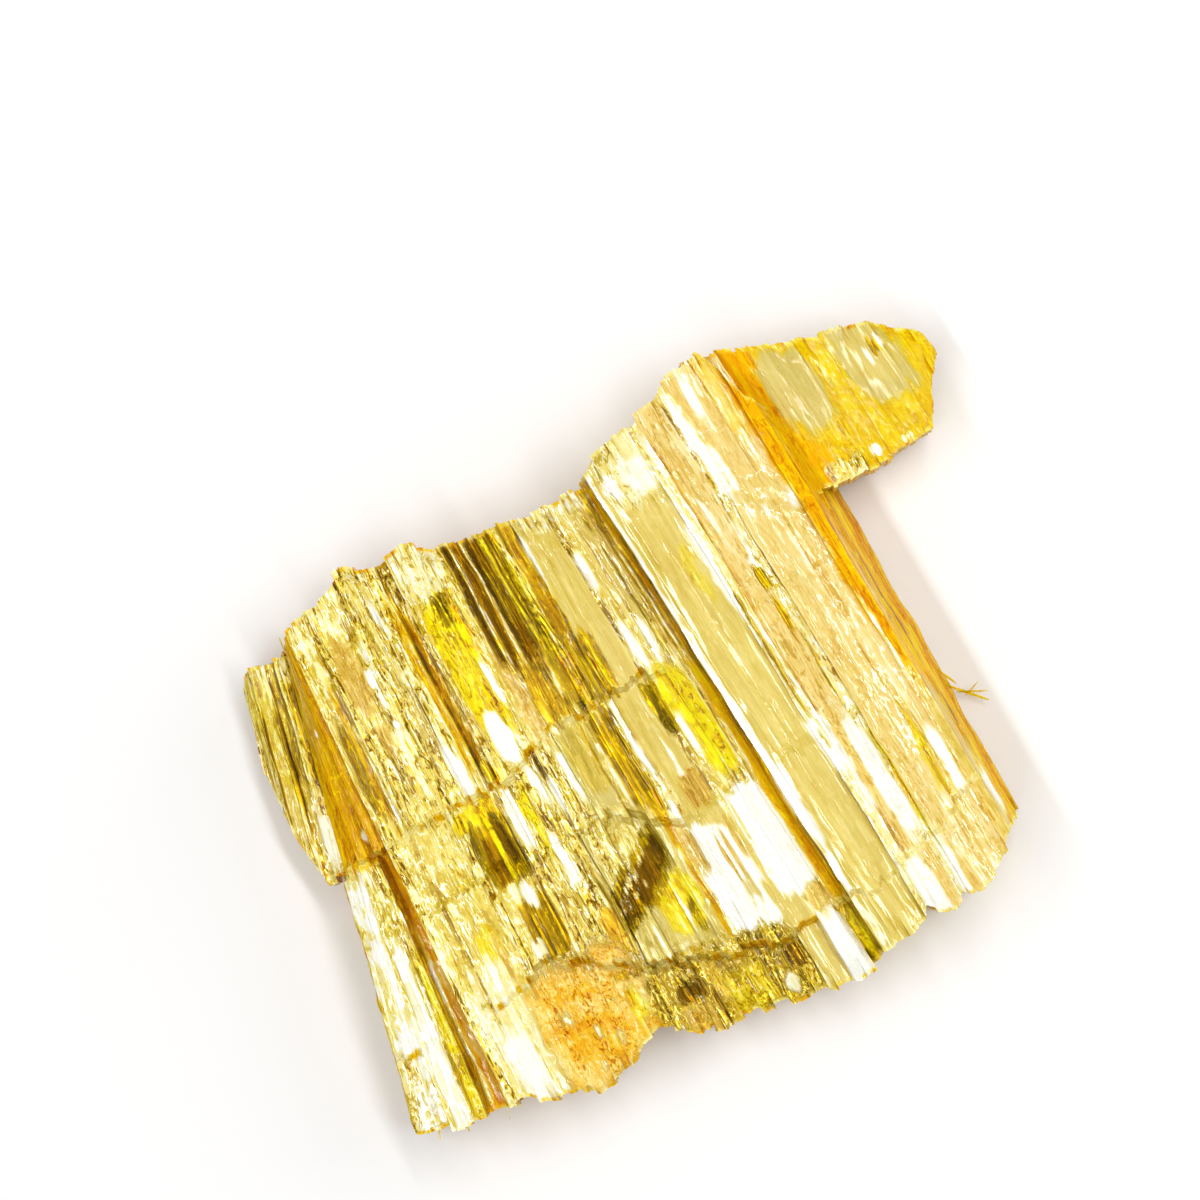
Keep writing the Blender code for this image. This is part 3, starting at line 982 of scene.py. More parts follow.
def sort_parts(shape: bmesh.types.BMesh) -> None:
    """Put edges and faces in the order of their vertices, because extruding them leaves them in any order."""
    shape.verts.index_update()
    count = len(shape.verts)

    def place(part: bmesh.types.BMEdge | bmesh.types.BMFace) -> int:
        """A number that tells an edge or a face from every other one."""
        numbers = [vertex.index for vertex in part.verts]
        return min(numbers) * count + max(numbers)

    shape.edges.sort(key=place)
    shape.faces.sort(key=place)


def taken(mesh: bpy.types.Mesh, name: str) -> np.ndarray:
    """Read a whole-number attribute of a mesh's vertices and remove it."""
    values = np.zeros(len(mesh.vertices), np.int32)
    attribute = mesh.attributes[name]
    attribute.data.foreach_get("value", values)
    mesh.attributes.remove(attribute)
    return values


def write_surface(
    mesh: bpy.types.Mesh,
    position: np.ndarray,
    grain: np.ndarray,
    body: np.ndarray,
    values: dict[str, np.ndarray],
) -> None:
    """Move a mesh's vertices to their places and write what its material reads.

    Args:
        mesh: The mesh.
        position: Place of each vertex, in millimetres.
        grain: Its coordinates on the grain.
        body: Its colour.
        values: Its other values by their names.
    """
    mesh.vertices.foreach_set("co", (position * MM).astype(np.float32).ravel())
    colour = np.hstack([body, np.ones((len(body), 1))])
    rows = {"grain": ("FLOAT_VECTOR", "vector", grain), "body": ("FLOAT_COLOR", "color", colour)}
    for name, value in {"paleness": paleness(body), **values}.items():
        rows[name] = ("FLOAT", "value", value)
    for name, (kind, key, value) in rows.items():
        attribute = mesh.attributes.new(name, kind, "POINT")
        attribute.data.foreach_set(key, np.ascontiguousarray(value, np.float32).ravel())
    mesh.update()


def finish_mesh(name: str, mesh: bpy.types.Mesh) -> bpy.types.Object:
    """Face a closed mesh outwards, smooth it between its sharp edges and put it in the scene."""
    shape = bmesh.new()
    shape.from_mesh(mesh)
    bmesh.ops.recalc_face_normals(shape, faces=shape.faces[:])
    if shape.calc_volume(signed=True) < 0.0:
        bmesh.ops.reverse_faces(shape, faces=shape.faces[:])
    shape.to_mesh(mesh)
    shape.free()
    mesh.shade_smooth()
    mesh.set_sharp_from_angle(angle=SHARP_ANGLE)
    return in_scene(name, mesh)


def in_scene(name: str, data: bpy.types.ID) -> bpy.types.Object:
    """Make an object of a mesh, a light or a camera and put it in the scene."""
    made = bpy.data.objects.new(name, data)
    bpy.context.scene.collection.objects.link(made)
    return made


@dataclass(frozen=True)
class Splinter:
    """A loose fibre of the mineral.

    Attributes:
        centre: Its place, in millimetres.
        run: Direction of its grain, as long as half of it.
        breadth: Half its width, in millimetres.
        look: What it looks like.
        seed: Picks its bumps.
    """

    centre: Vector
    run: Vector
    breadth: float
    look: Look
    seed: int

    def points(self, ball: np.ndarray) -> np.ndarray:
        """Its surface, as a lumpy and lengthened copy of the points of a ball."""
        x, y, z = 1.3 * ball[:, 0], 1.3 * ball[:, 1], ball[:, 2]
        lumps = 1.0 + 0.6 * swell(self.seed, x + z, y - z, 2)
        size = [self.run.length, self.breadth, 0.7 * self.breadth]
        turned = np.array(self.run.to_track_quat("X", "Z").to_matrix())
        return (ball * lumps[:, None] * size) @ turned.T + self.centre


def splinter_mesh(name: str, bits: Sequence[Splinter]) -> bpy.types.Object:
    """Make one object of many splinters.

    Args:
        name: The object's name.
        bits: Its splinters.

    Returns:
        The object.
    """
    shape = bmesh.new()
    number = shape.verts.layers.int.new("number")
    for index in range(len(bits)):
        for vertex in bmesh.ops.create_icosphere(shape, subdivisions=2, radius=1.0)["verts"]:
            vertex[number] = index
    mesh = bpy.data.meshes.new(name)
    shape.to_mesh(mesh)
    shape.free()
    owner = taken(mesh, "number")
    ball = np.array([vertex.co for vertex in mesh.vertices], np.float32)
    position = np.zeros(ball.shape)
    for index, bit in enumerate(bits):
        position[owner == index] = bit.points(ball[owner == index])
    finish = Finish.of_grid(np.array([bit.look.value.values() for bit in bits])[owner])
    values = {key: getattr(finish, key) for key in ("lustre", *PLAIN_VALUES)}
    write_surface(mesh, position, position + SPLINTER_STEP * owner[:, None], finish.body, values)
    return finish_mesh(name, mesh)


# ---------------------------------------------------------------------------------------------------------
# The stone's material


class Sock:
    """A socket that Python's operators work on, each adding its Math node."""

    def __init__(self, tree: bpy.types.NodeTree, socket: bpy.types.NodeSocket) -> None:
        """Wrap an output socket of a tree."""
        self.tree = tree
        self.socket = socket

    def maths(self, operation: str, *others: "Sock | float", clamp: bool = False) -> "Sock":
        """Add a Math node that starts from this value.

        Args:
            operation: The node's operation.
            others: Its further inputs in order.
            clamp: Whether its result is held between 0 and 1.

        Returns:
            The node's result.
        """
        inputs = dict(enumerate((self, *others)))
        return add_node(self.tree, "ShaderNodeMath", {"operation": operation, "use_clamp": clamp}, inputs)

    def __add__(self, other: "Sock | float") -> "Sock":
        """self + other."""
        return self.maths("ADD", other)

    __radd__ = __add__

    def __sub__(self, other: "Sock | float") -> "Sock":
        """self - other."""
        return self.maths("SUBTRACT", other)

    def __rsub__(self, other: "Sock | float") -> "Sock":
        """other - self."""
        return self.maths("MULTIPLY", -1.0).maths("ADD", other)

    def __mul__(self, other: "Sock | float") -> "Sock":
        """self * other."""
        return self.maths("MULTIPLY", other)

    __rmul__ = __mul__

    def raised(self, other: "Sock | float") -> "Sock":
        """The greater of this value and the other."""
        return self.maths("MAXIMUM", other)

    def clipped(self) -> "Sock":
        """This value held between 0 and 1."""
        return self.maths("ADD", 0.0, clamp=True)

    def between(self, low: float, high: float) -> "Sock":
        """Rise smoothly from 0 where this value is at low to 1 where it is at high."""
        settings = {"interpolation_type": "SMOOTHSTEP"}
        return add_node(self.tree, "ShaderNodeMapRange", settings, {0: self, 1: low, 2: high})


def add_node(
    tree: bpy.types.NodeTree,
    kind: str,
    settings: dict[str, object] | None = None,
    inputs: dict[int | str, object] | None = None,
    output: int | str = 0,
) -> Sock:
    """Add a node to a tree.

    Args:
        tree: The tree.
        kind: The node's type.
        settings: Its own properties, set first.
        inputs: Values or links of its sockets.
        output: Which of its outputs is given back.

    Returns:
        That output.
    """
    node = tree.nodes.new(kind)
    for name, value in (settings or {}).items():
        setattr(node, name, value)
    for name, value in (inputs or {}).items():
        if isinstance(value, Sock):
            tree.links.new(value.socket, node.inputs[name])
        else:
            node.inputs[name].default_value = value
    return Sock(tree, node.outputs[output])


class Streak(Enum):
    """The streaks on the grain: their scale across, along and through the sheets, and their detail."""

    BROAD = ((3.0, 0.25, 3.0), 3.0)
    FINE = ((9.0, 0.7, 9.0), 4.0)
    FLECKS = ((2.2, 1.2, 2.2), 5.0)
    SPECKS = ((5.0, 2.6, 5.0), 2.0)
    MARRING = ((0.35, 0.5, 0.35), 1.0)

    def made(self, tree: bpy.types.NodeTree, grain: Sock) -> Sock:
        """Add its noise, from coordinates on the grain."""
        scale, detail = self.value
        return grain_noise(tree, grain, scale, {"Detail": detail})


class Contour(Enum):
    """The fine lines on the grain, each kind along the contour lines of a wavering noise.

    Attributes:
        scale: Scale of the noise, across, along and through the sheets.
        count: How many contour lines it has.
        line: Distances from a contour line at which its mark is full and ends.
        crest: Distances from one at which the crest between two begins and is full.
    """

    TERRACES = ((1.6, 0.22, 1.6), 6.0, (0.04, 0.18), (0.36, 0.46))
    SCALES = ((2.9, 0.9, 2.9), 4.0, (0.02, 0.12), (0.40, 0.47))
    SCORES = ((1.5, 0.03, 1.5), 7.0, (0.03, 0.12), (0.36, 0.46))
    CROSSINGS = ((0.16, 0.9, 0.16), 6.0, (0.02, 0.07), (0.36, 0.46))

    def __init__(self, scale: Triple, count: float, line: Point, crest: Point) -> None:
        """Keep its numbers under their names."""
        self.scale, self.count, self.line, self.crest = scale, count, line, crest

    def made(self, tree: bpy.types.NodeTree, grain: Sock) -> tuple[Sock, Sock, Sock]:
        """Add its nodes.

        Args:
            tree: The material's tree.
            grain: Coordinates on the grain.

        Returns:
            The distance from the nearest contour line, 0 on it and 0.5 half way between two, and where its
            marks and crests are, from 0 to 1.
        """
        noise = grain_noise(tree, grain, self.scale, {"Detail": 2.5, "Distortion": 0.3})
        distance = (noise * self.count).maths("PINGPONG", 0.5)
        return distance, 1 - distance.between(*self.line), distance.between(*self.crest)


def grain_noise(tree: bpy.types.NodeTree, grain: Sock, scale: Triple, settings: dict[str, float]) -> Sock:
    """Add noise on the grain.

    Args:
        tree: The tree.
        grain: Coordinates on the grain.
        scale: Scale of the noise, across, along and through the sheets.
        settings: Values of its other inputs.

    Returns:
        Values from 0 to 1.
    """
    stretched = add_node(tree, "ShaderNodeVectorMath", {"operation": "MULTIPLY"}, {0: grain, 1: scale})
    return add_node(tree, "ShaderNodeTexNoise", {}, {"Vector": stretched, "Scale": 1.0, **settings})


@dataclass(frozen=True)
class Stone:
    """The mineral: a coloured body that light enters, under a pearly coat, with streaks along the grain and
    painted shade and highlights in fine lines.

    Attributes:
        body_ior: Refraction of the body.
        coat_ior: Refraction of the pearly coat.
        coat_roughness: Roughness of the coat.
        gleam: Colour of the body's own reflections.
        glow: Share of the light that enters the body.
        glow_radius: How far red, green and blue light go in it, in millimetres.
        streak_depth: Height of the finest striation, in millimetres.
        bump_strength: How strongly that shows.
    """

    body_ior: float = 1.25
    coat_ior: float = 2.0
    coat_roughness: float = 0.10
    gleam: Colour = (1.0, 0.72, 0.15)
    glow: float = 0.25
    glow_radius: Triple = (1.3, 0.6, 0.08)
    streak_depth: float = 0.04
    bump_strength: float = 0.6

    def material(self) -> bpy.types.Material:
        """Make the material."""
        material = bpy.data.materials.new("orpiment_stone")
        material.use_nodes = True
        tree = material.node_tree
        shader = tree.nodes["Principled BSDF"]
        for name, sock in self.varying(tree).items():
            tree.links.new(sock.socket, shader.inputs[name])
        for name, value in self.constants().items():
            shader.inputs[name].default_value = value
        return material

    def constants(self) -> dict[str, object]:
        """What is the same all over the stone, by the shader's inputs."""
        return {
            "IOR": self.body_ior,
            "Coat IOR": self.coat_ior,
            "Coat Roughness": self.coat_roughness,
            "Specular Tint": (*self.gleam, 1.0),
            "Subsurface Weight": self.glow,
            "Subsurface Radius": self.glow_radius,
            "Subsurface Scale": MM,
        }

    def varying(self, tree: bpy.types.NodeTree) -> dict[str, Sock]:
        """What varies over the stone, by the shader's inputs."""
        outputs = {"grain": "Vector", "body": "Color"}
        read = {}
        for name in ("grain", "body", "lustre", "paleness", *PLAIN_VALUES):
            settings = {"attribute_name": name}
            read[name] = add_node(tree, "ShaderNodeAttribute", settings, {}, outputs.get(name, "Fac"))
        grain, pale, etching = read["grain"], read["paleness"], read["etching"]
        broad, fine, flecks, specks, crossing_places = (streak.made(tree, grain) for streak in Streak)
        _, terrace, terrace_glint = Contour.TERRACES.made(tree, grain)
        _, scale, scale_glint = Contour.SCALES.made(tree, grain)
        from_score, score, score_glint = Contour.SCORES.made(tree, grain)
        _, crossing, _ = Contour.CROSSINGS.made(tree, grain)
        # Fine dark lines: painted shade in cracks and beside crinkles, partly the mineral's own dark lines.
        dark = terrace * flecks.between(0.46, 0.54)
        dark = dark.raised(scale * flecks.between(0.54, 0.60))
        dark = dark.raised(score * (1 - flecks).between(0.46, 0.56)) * etching
        # Painted highlights as pale lines on the crests of crinkles and as specks, with pale lines across the
        # laths where they show.
        glints_and_pale_lines = terrace_glint * (1 - flecks).between(0.40, 0.56)
        glints_and_pale_lines = glints_and_pale_lines.raised(scale_glint * specks.between(0.48, 0.60)) * read["sparkle"]
        crossing_mask = crossing_places.between(0.52, 0.64) * specks.between(0.38, 0.46)
        glints_and_pale_lines = glints_and_pale_lines.raised(crossing * crossing_mask * read["crossing"])
        depth = 0.8 * (0.5 - broad) + (0.1 + 0.7 * etching) * (0.5 - fine)
        gamma = ((1 + pale * (depth + 2.1 * dark)) * (1 - 0.85 * glints_and_pale_lines)).raised(0.12)
        dim = 1 - pale
        light = (1 - dim * 0.8 * depth) * (1 - 0.4 * dark) * (1 + 1.2 * dim * glints_and_pale_lines)
        # On dark mineral, a painted highlight on the crests between the scores and painted shade along them.
        scored = etching * dim
        light = light * (1 + 2.0 * scored * score_glint)
        light = light * (1 - 0.5 * scored * (1 - from_score.between(0.04, 0.16)))
        colour = add_node(tree, "ShaderNodeGamma", {}, {"Color": read["body"], "Gamma": gamma})
        brightness = {"Vector": colour, "Scale": light.raised(0.1)}
        height = (0.15 + 0.5 * etching) * (fine + 0.5 * flecks) + 0.8 * (glints_and_pale_lines - dark)
        bump = {"Height": height, "Strength": self.bump_strength, "Distance": self.streak_depth * MM}
        return {
            "Base Color": add_node(tree, "ShaderNodeVectorMath", {"operation": "SCALE"}, brightness),
            "Roughness": (read["roughness"] + 0.25 * (fine - 0.5)).clipped(),
            "Coat Weight": (read["lustre"] * (0.55 + 0.9 * broad) * (1 - dark)).clipped(),
            "Normal": add_node(tree, "ShaderNodeBump", {}, bump, "Normal"),
        }


# ---------------------------------------------------------------------------------------------------------
# The slab


SLAB_RAILS: tuple[Rail, ...] = (
    ((-21.3, 4.7), (-12.5, -24.9)),
    ((-20.5, 5.3), (-7.0, -22.8)),
    ((-2.1, 13.8), (13.2, -10.7)),
    ((8.2, 18.8), (22.5, -5.8)),
    ((10.0, 19.8), (23.7, -5.1)),
)
SLAB_FRACTURES: tuple[tuple[Point, ...], ...] = (
    ((0, 0.12), (1, 0.10), (1.6, 0.05), (2, 0.02), (2.3, 0.04), (2.6, 0.12), (3, 0.20), (4, 0.20)),
    ((0, 0.46), (1.35, 0.45), (1.54, 0.40), (1.88, 0.385), (2, 0.39), (2.68, 0.355), (4, 0.34)),
    ((0, 0.62), (1, 0.60), (1.57, 0.597), (1.74, 0.69), (2, 0.68), (2.6, 0.645), (4, 0.62)),
    ((0, 0.84), (1, 0.83), (1.26, 0.80), (1.48, 0.905), (1.77, 0.99), (2.2, 1.0), (3, 0.90), (4, 0.90)),
)
FRACTURE_RAMPS = (3.0, 0.35, 0.6, 0.3)
LEFT_LATHS = (
    Lath(0.35, 6.2, 6.6, (2.0, 1.9, 0.1, 0.0, 0.3), 0.0, 0.0, CREAM),
    Lath(0.40, 6.7, 7.0, (1.0, 0.8, 0.0, 0.1, 0.0), 0.2, 0.2, SILVER),
    Lath(0.25, 5.9, 6.0, (-1.1, -1.4, -0.1, 0.0, 0.0), 0.4, 0.0, AMBER),
)
MIDDLE_LATHS = (
    Lath(0.075, 8.2, 7.9, (0.5, 0.0, 0.2, 0.5, 0.6), 0.7, 0.1, SILVER),
    Lath(0.112, 8.3, 8.0, (0.6, 0.0, 0.4, 0.6, 0.9), 1.1, 1.3, SILVER),
    Lath(0.084, 8.0, 7.8, (0.4, 0.0, 0.3, 0.6, 1.4), 2.6, 2.2, SILVER),
    Lath(0.056, 8.2, 8.2, (0.5, 0.0, 0.5, 0.7, 1.5), 1.8, 2.0, SILVER),
    Lath(0.037, 7.3, 7.3, (0.4, 0.0, 0.2, 0.3, 0.8), 1.9, 1.7, SILVER),
    Lath(0.122, 7.9, 7.5, (0.4, 0.0, 0.5, 0.7, 1.6), 2.1, 0.8, SILVER),
    Lath(0.065, 7.3, 7.1, (0.2, 0.0, -0.2, 0.2, 1.7), 1.3, 2.4, SILVER),
    Lath(0.122, 6.9, 6.7, (0.1, 0.0, -0.5, 0.3, 2.0), 1.2, 2.8, SILVER),
    Lath(0.075, 7.0, 7.2, (0.0, 0.0, -0.3, 0.4, 2.2), 0.9, 3.2, SILVER),
    Lath(0.102, 8.0, 8.1, (0.2, 0.0, 0.7, 0.9, 2.4), 0.6, 3.7, STRAW),
    Lath(0.066, 7.4, 7.3, (0.3, 0.0, 0.5, 0.3, 1.2), 0.9, 4.2, SILVER),
    Lath(0.047, 7.1, 7.0, (0.1, 0.0, 0.0, 0.0, 0.0), 0.9, 4.5, SILVER),
    Lath(0.037, 6.8, 6.9, (0.0, 0.0, 0.0, 0.0, 0.4), 0.8, 4.1, SILVER),
)
RIGHT_LATHS = (
    Lath(0.024, 7.2, 8.2, (0.1, 0.0, 0.0, 0.0, 0.5), 1.2, 3.6, HONEY),
    Lath(0.081, 8.6, 8.8, (0.1, 0.0, 0.0, 0.0, 0.5), 1.6, 3.7, STRAW),
    Lath(0.237, 8.8, 8.7, (-0.3, 0.0, 0.0, 0.1, 0.3), 2.4, 3.6, STRAW),
    Lath(0.067, 9.0, 8.9, (-0.1, 0.0, 0.1, 0.0, 0.2), 2.8, 2.4, CREAM),
    Lath(0.150, 8.6, 8.7, (-0.2, 0.0, 0.1, 0.2, 0.4), 3.4, 3.4, PEACH),
    Lath(0.058, 8.45, 8.4, (0.1, 0.0, -0.1, 0.1, 0.2), 3.9, 2.6, CREAM),
    Lath(0.183, 8.7, 8.6, (0.5, 0.0, -0.1, 0.0, 0.2), 4.6, 3.0, PEACH),
    Lath(0.125, 8.5, 8.4, (0.7, 0.1, 0.0, 0.0, 0.2), 5.2, 2.0, PEACH),
    Lath(0.075, 8.6, 8.4, (0.5, 0.0, 0.0, 0.1, 0.3), 1.6, 0.9, PEACH),
)
WALL_LATHS = (
    Lath(0.30, 8.0, 6.3, (0.6, 0.0, 0.0, 0.1, 0.4), 0.6, 0.6, ORANGE),
    Lath(0.12, 5.6, 5.4, (0.2, 0.0, 0.2, 0.0, 0.1), 0.4, 0.5, ORANGE),
    Lath(0.25, 4.9, 3.7, (0.0, 0.0, 0.1, 0.0, 0.0), 0.3, 0.4, ORANGE),
    Lath(0.13, 3.3, 3.1, (0.0, 0.1, 0.0, 0.1, 0.0), 0.2, 0.3, ORANGE),
    Lath(0.20, 2.3, 0.9, (0.0, 0.0, 0.0, 0.0, 0.0), 0.1, 0.2, ORANGE),
)
FAR_PATCHES = patches_of(
    (AMBER, -0.1, 1.0, -0.3, 0.47, 1.0, 0.15, 12.0),
    (TAN, 0.15, 0.55, 0.02, 0.22, 0.8, 0.3),
    (WHITE, 0.60, 0.72, 0.40, 0.425, 1.0, 0.1, 2.0),
    (WHITE, 0.40, 0.50, 0.18, 0.20, 1.0, 0.1, 2.0),
    (HONEY, 1.010, 1.043, 0.22, 0.39, 1.0, 0.15),
    (AMBER, 1.046, 1.056, 0.10, 0.43, 0.9, 0.08, 8.0),
    (HONEY, 1.057, 1.062, 0.14, 0.40, 0.8, 0.08, 8.0),
    (CREAM, 1.064, 1.074, 0.25, 0.44, 1.0, 0.08, 8.0),
    (TAN, 1.095, 1.165, 0.06, 0.20, 0.9, 0.3),
    (WHITE, 1.175, 1.195, 0.08, 0.12, 1.0, 0.15, 2.0),
    (WHITE, 1.160, 1.182, 0.13, 0.17, 1.0, 0.15, 2.0),
    (WHITE, 1.165, 1.180, 0.185, 0.21, 1.0, 0.15, 2.0),
    (WHITE, 1.165, 1.190, 0.235, 0.265, 1.0, 0.15, 2.0),
    (TAN, 1.115, 1.155, 0.24, 0.30, 0.8, 0.3),
    (WHITE, 1.262, 1.278, 0.0, 0.07, 1.0, 0.15, 2.0),
    (WHITE, 1.270, 1.305, -0.11, -0.05, 1.0, 0.15, 2.0),
    (WHITE, 1.258, 1.295, 0.33, 0.45, 1.0, 0.18, 2.5, 0.6),
    (AMBER, 1.302, 1.345, 0.06, 0.40, 1.0, 0.12, 8.0),
    (HONEY, 1.306, 1.312, 0.07, 0.42, 0.9, 0.08, 8.0),
    (CREAM, 1.318, 1.323, 0.10, 0.36, 0.8, 0.08, 8.0),
    (HONEY, 1.328, 1.334, 0.05, 0.39, 0.9, 0.08, 8.0),
    (OLIVE, 1.325, 1.372, 0.39, 0.44, 0.8, 0.15, 3.0, 1.0),
    (CREAM, 1.365, 1.50, -0.10, 0.05),
    (GOLD, 1.38, 1.49, 0.06, 0.37),
    (OLIVE, 1.42, 1.50, 0.05, 0.12, 0.8, 0.15, 6.0),
    (WHITE, 1.395, 1.455, 0.31, 0.42, 1.0, 0.18),
    (WHITE, 1.468, 1.488, 0.22, 0.31, 1.0, 0.18),
    (TAN, 1.505, 1.550, 0.20, 0.42, 0.9, 0.15, 6.0),
    (HONEY, 1.520, 1.590, -0.10, 0.26, 1.0, 0.12, 12.0),
    (UMBER, 1.527, 1.545, -0.08, 0.25, 1.0, 0.08, 12.0),
    (UMBER, 1.552, 1.580, -0.08, 0.25, 1.0, 0.10, 12.0),
    (CREAM, 1.5465, 1.5515, -0.02, 0.22, 0.9, 0.06, 12.0),
    (CREAM, 1.582, 1.588, -0.06, 0.25, 1.0, 0.06, 12.0),
    (UMBER, 1.590, 1.640, -0.10, 0.26, 1.0, 0.12, 12.0),
    (OLIVE, 1.598, 1.628, 0.04, 0.17, 0.7, 0.15),
    (OLIVE, 1.636, 1.690, -0.10, 0.26, 1.0, 0.12, 12.0),
    (GOLD, 1.646, 1.652, -0.06, 0.22, 1.0, 0.08, 12.0),
    (GOLD, 1.664, 1.669, -0.02, 0.24, 1.0, 0.08, 12.0),
    (UMBER, 1.655, 1.661, -0.06, 0.20, 0.9, 0.08, 12.0),
    (GOLD, 1.680, 1.702, 0.05, 0.22, 0.7, 0.15, 6.0),
    (HONEY, 1.700, 1.750, -0.10, 0.26, 0.9, 0.15, 12.0),
    (AMBER, 1.712, 1.745, -0.02, 0.24, 0.6, 0.2),
    (HONEY, 1.553, 1.628, 0.25, 0.395, 0.9, 0.12, 12.0),
    (AMBER, 1.562, 1.606, 0.28, 0.37, 0.5, 0.2),
    (UMBER, 1.628, 1.634, 0.26, 0.40, 0.9, 0.08, 12.0),
    (OLIVE, 1.636, 1.720, 0.25, 0.395, 0.9, 0.12, 12.0),
    (HONEY, 1.645, 1.712, 0.27, 0.39, 0.8, 0.2),
    (HONEY, 1.720, 1.790, 0.25, 0.395, 1.0, 0.12, 8.0),
    (GOLD, 1.726, 1.731, 0.27, 0.39, 0.9, 0.06),
    (GOLD, 1.746, 1.752, 0.27, 0.38, 0.9, 0.06),
    (GOLD, 1.768, 1.776, 0.27, 0.38, 0.9, 0.06),
    (WHITE, 1.742, 1.758, 0.02, 0.14, 1.0, 0.18),
    (CREAM, 1.76, 1.97, -0.10, 0.03),
    (WHITE, 1.85, 1.88, 0.10, 0.20, 1.0, 0.18),
    (WHITE, 1.862, 1.892, 0.26, 0.38, 1.0, 0.18, 3.5, 0.5),
    (WHITE, 1.915, 1.940, 0.26, 0.39, 1.0, 0.18, 3.5, 0.5),
    (STRAW, 1.895, 1.975, 0.02, 0.26, 0.8, 0.2, 6.0),
    (OLIVE, 1.945, 1.953, 0.05, 0.38, 0.8, 0.08, 8.0),
    (HONEY, 1.970, 1.994, -0.10, 0.40, 1.0, 0.10, 8.0),
    (CREAM, 1.980, 1.986, 0.08, 0.38, 1.0, 0.06, 8.0),
    (AMBER, 1.994, 2.012, -0.10, 0.40, 1.0, 0.06, 8.0),
    (ORANGE, 1.999, 2.007, 0.05, 0.40, 1.0, 0.06, 8.0),
)
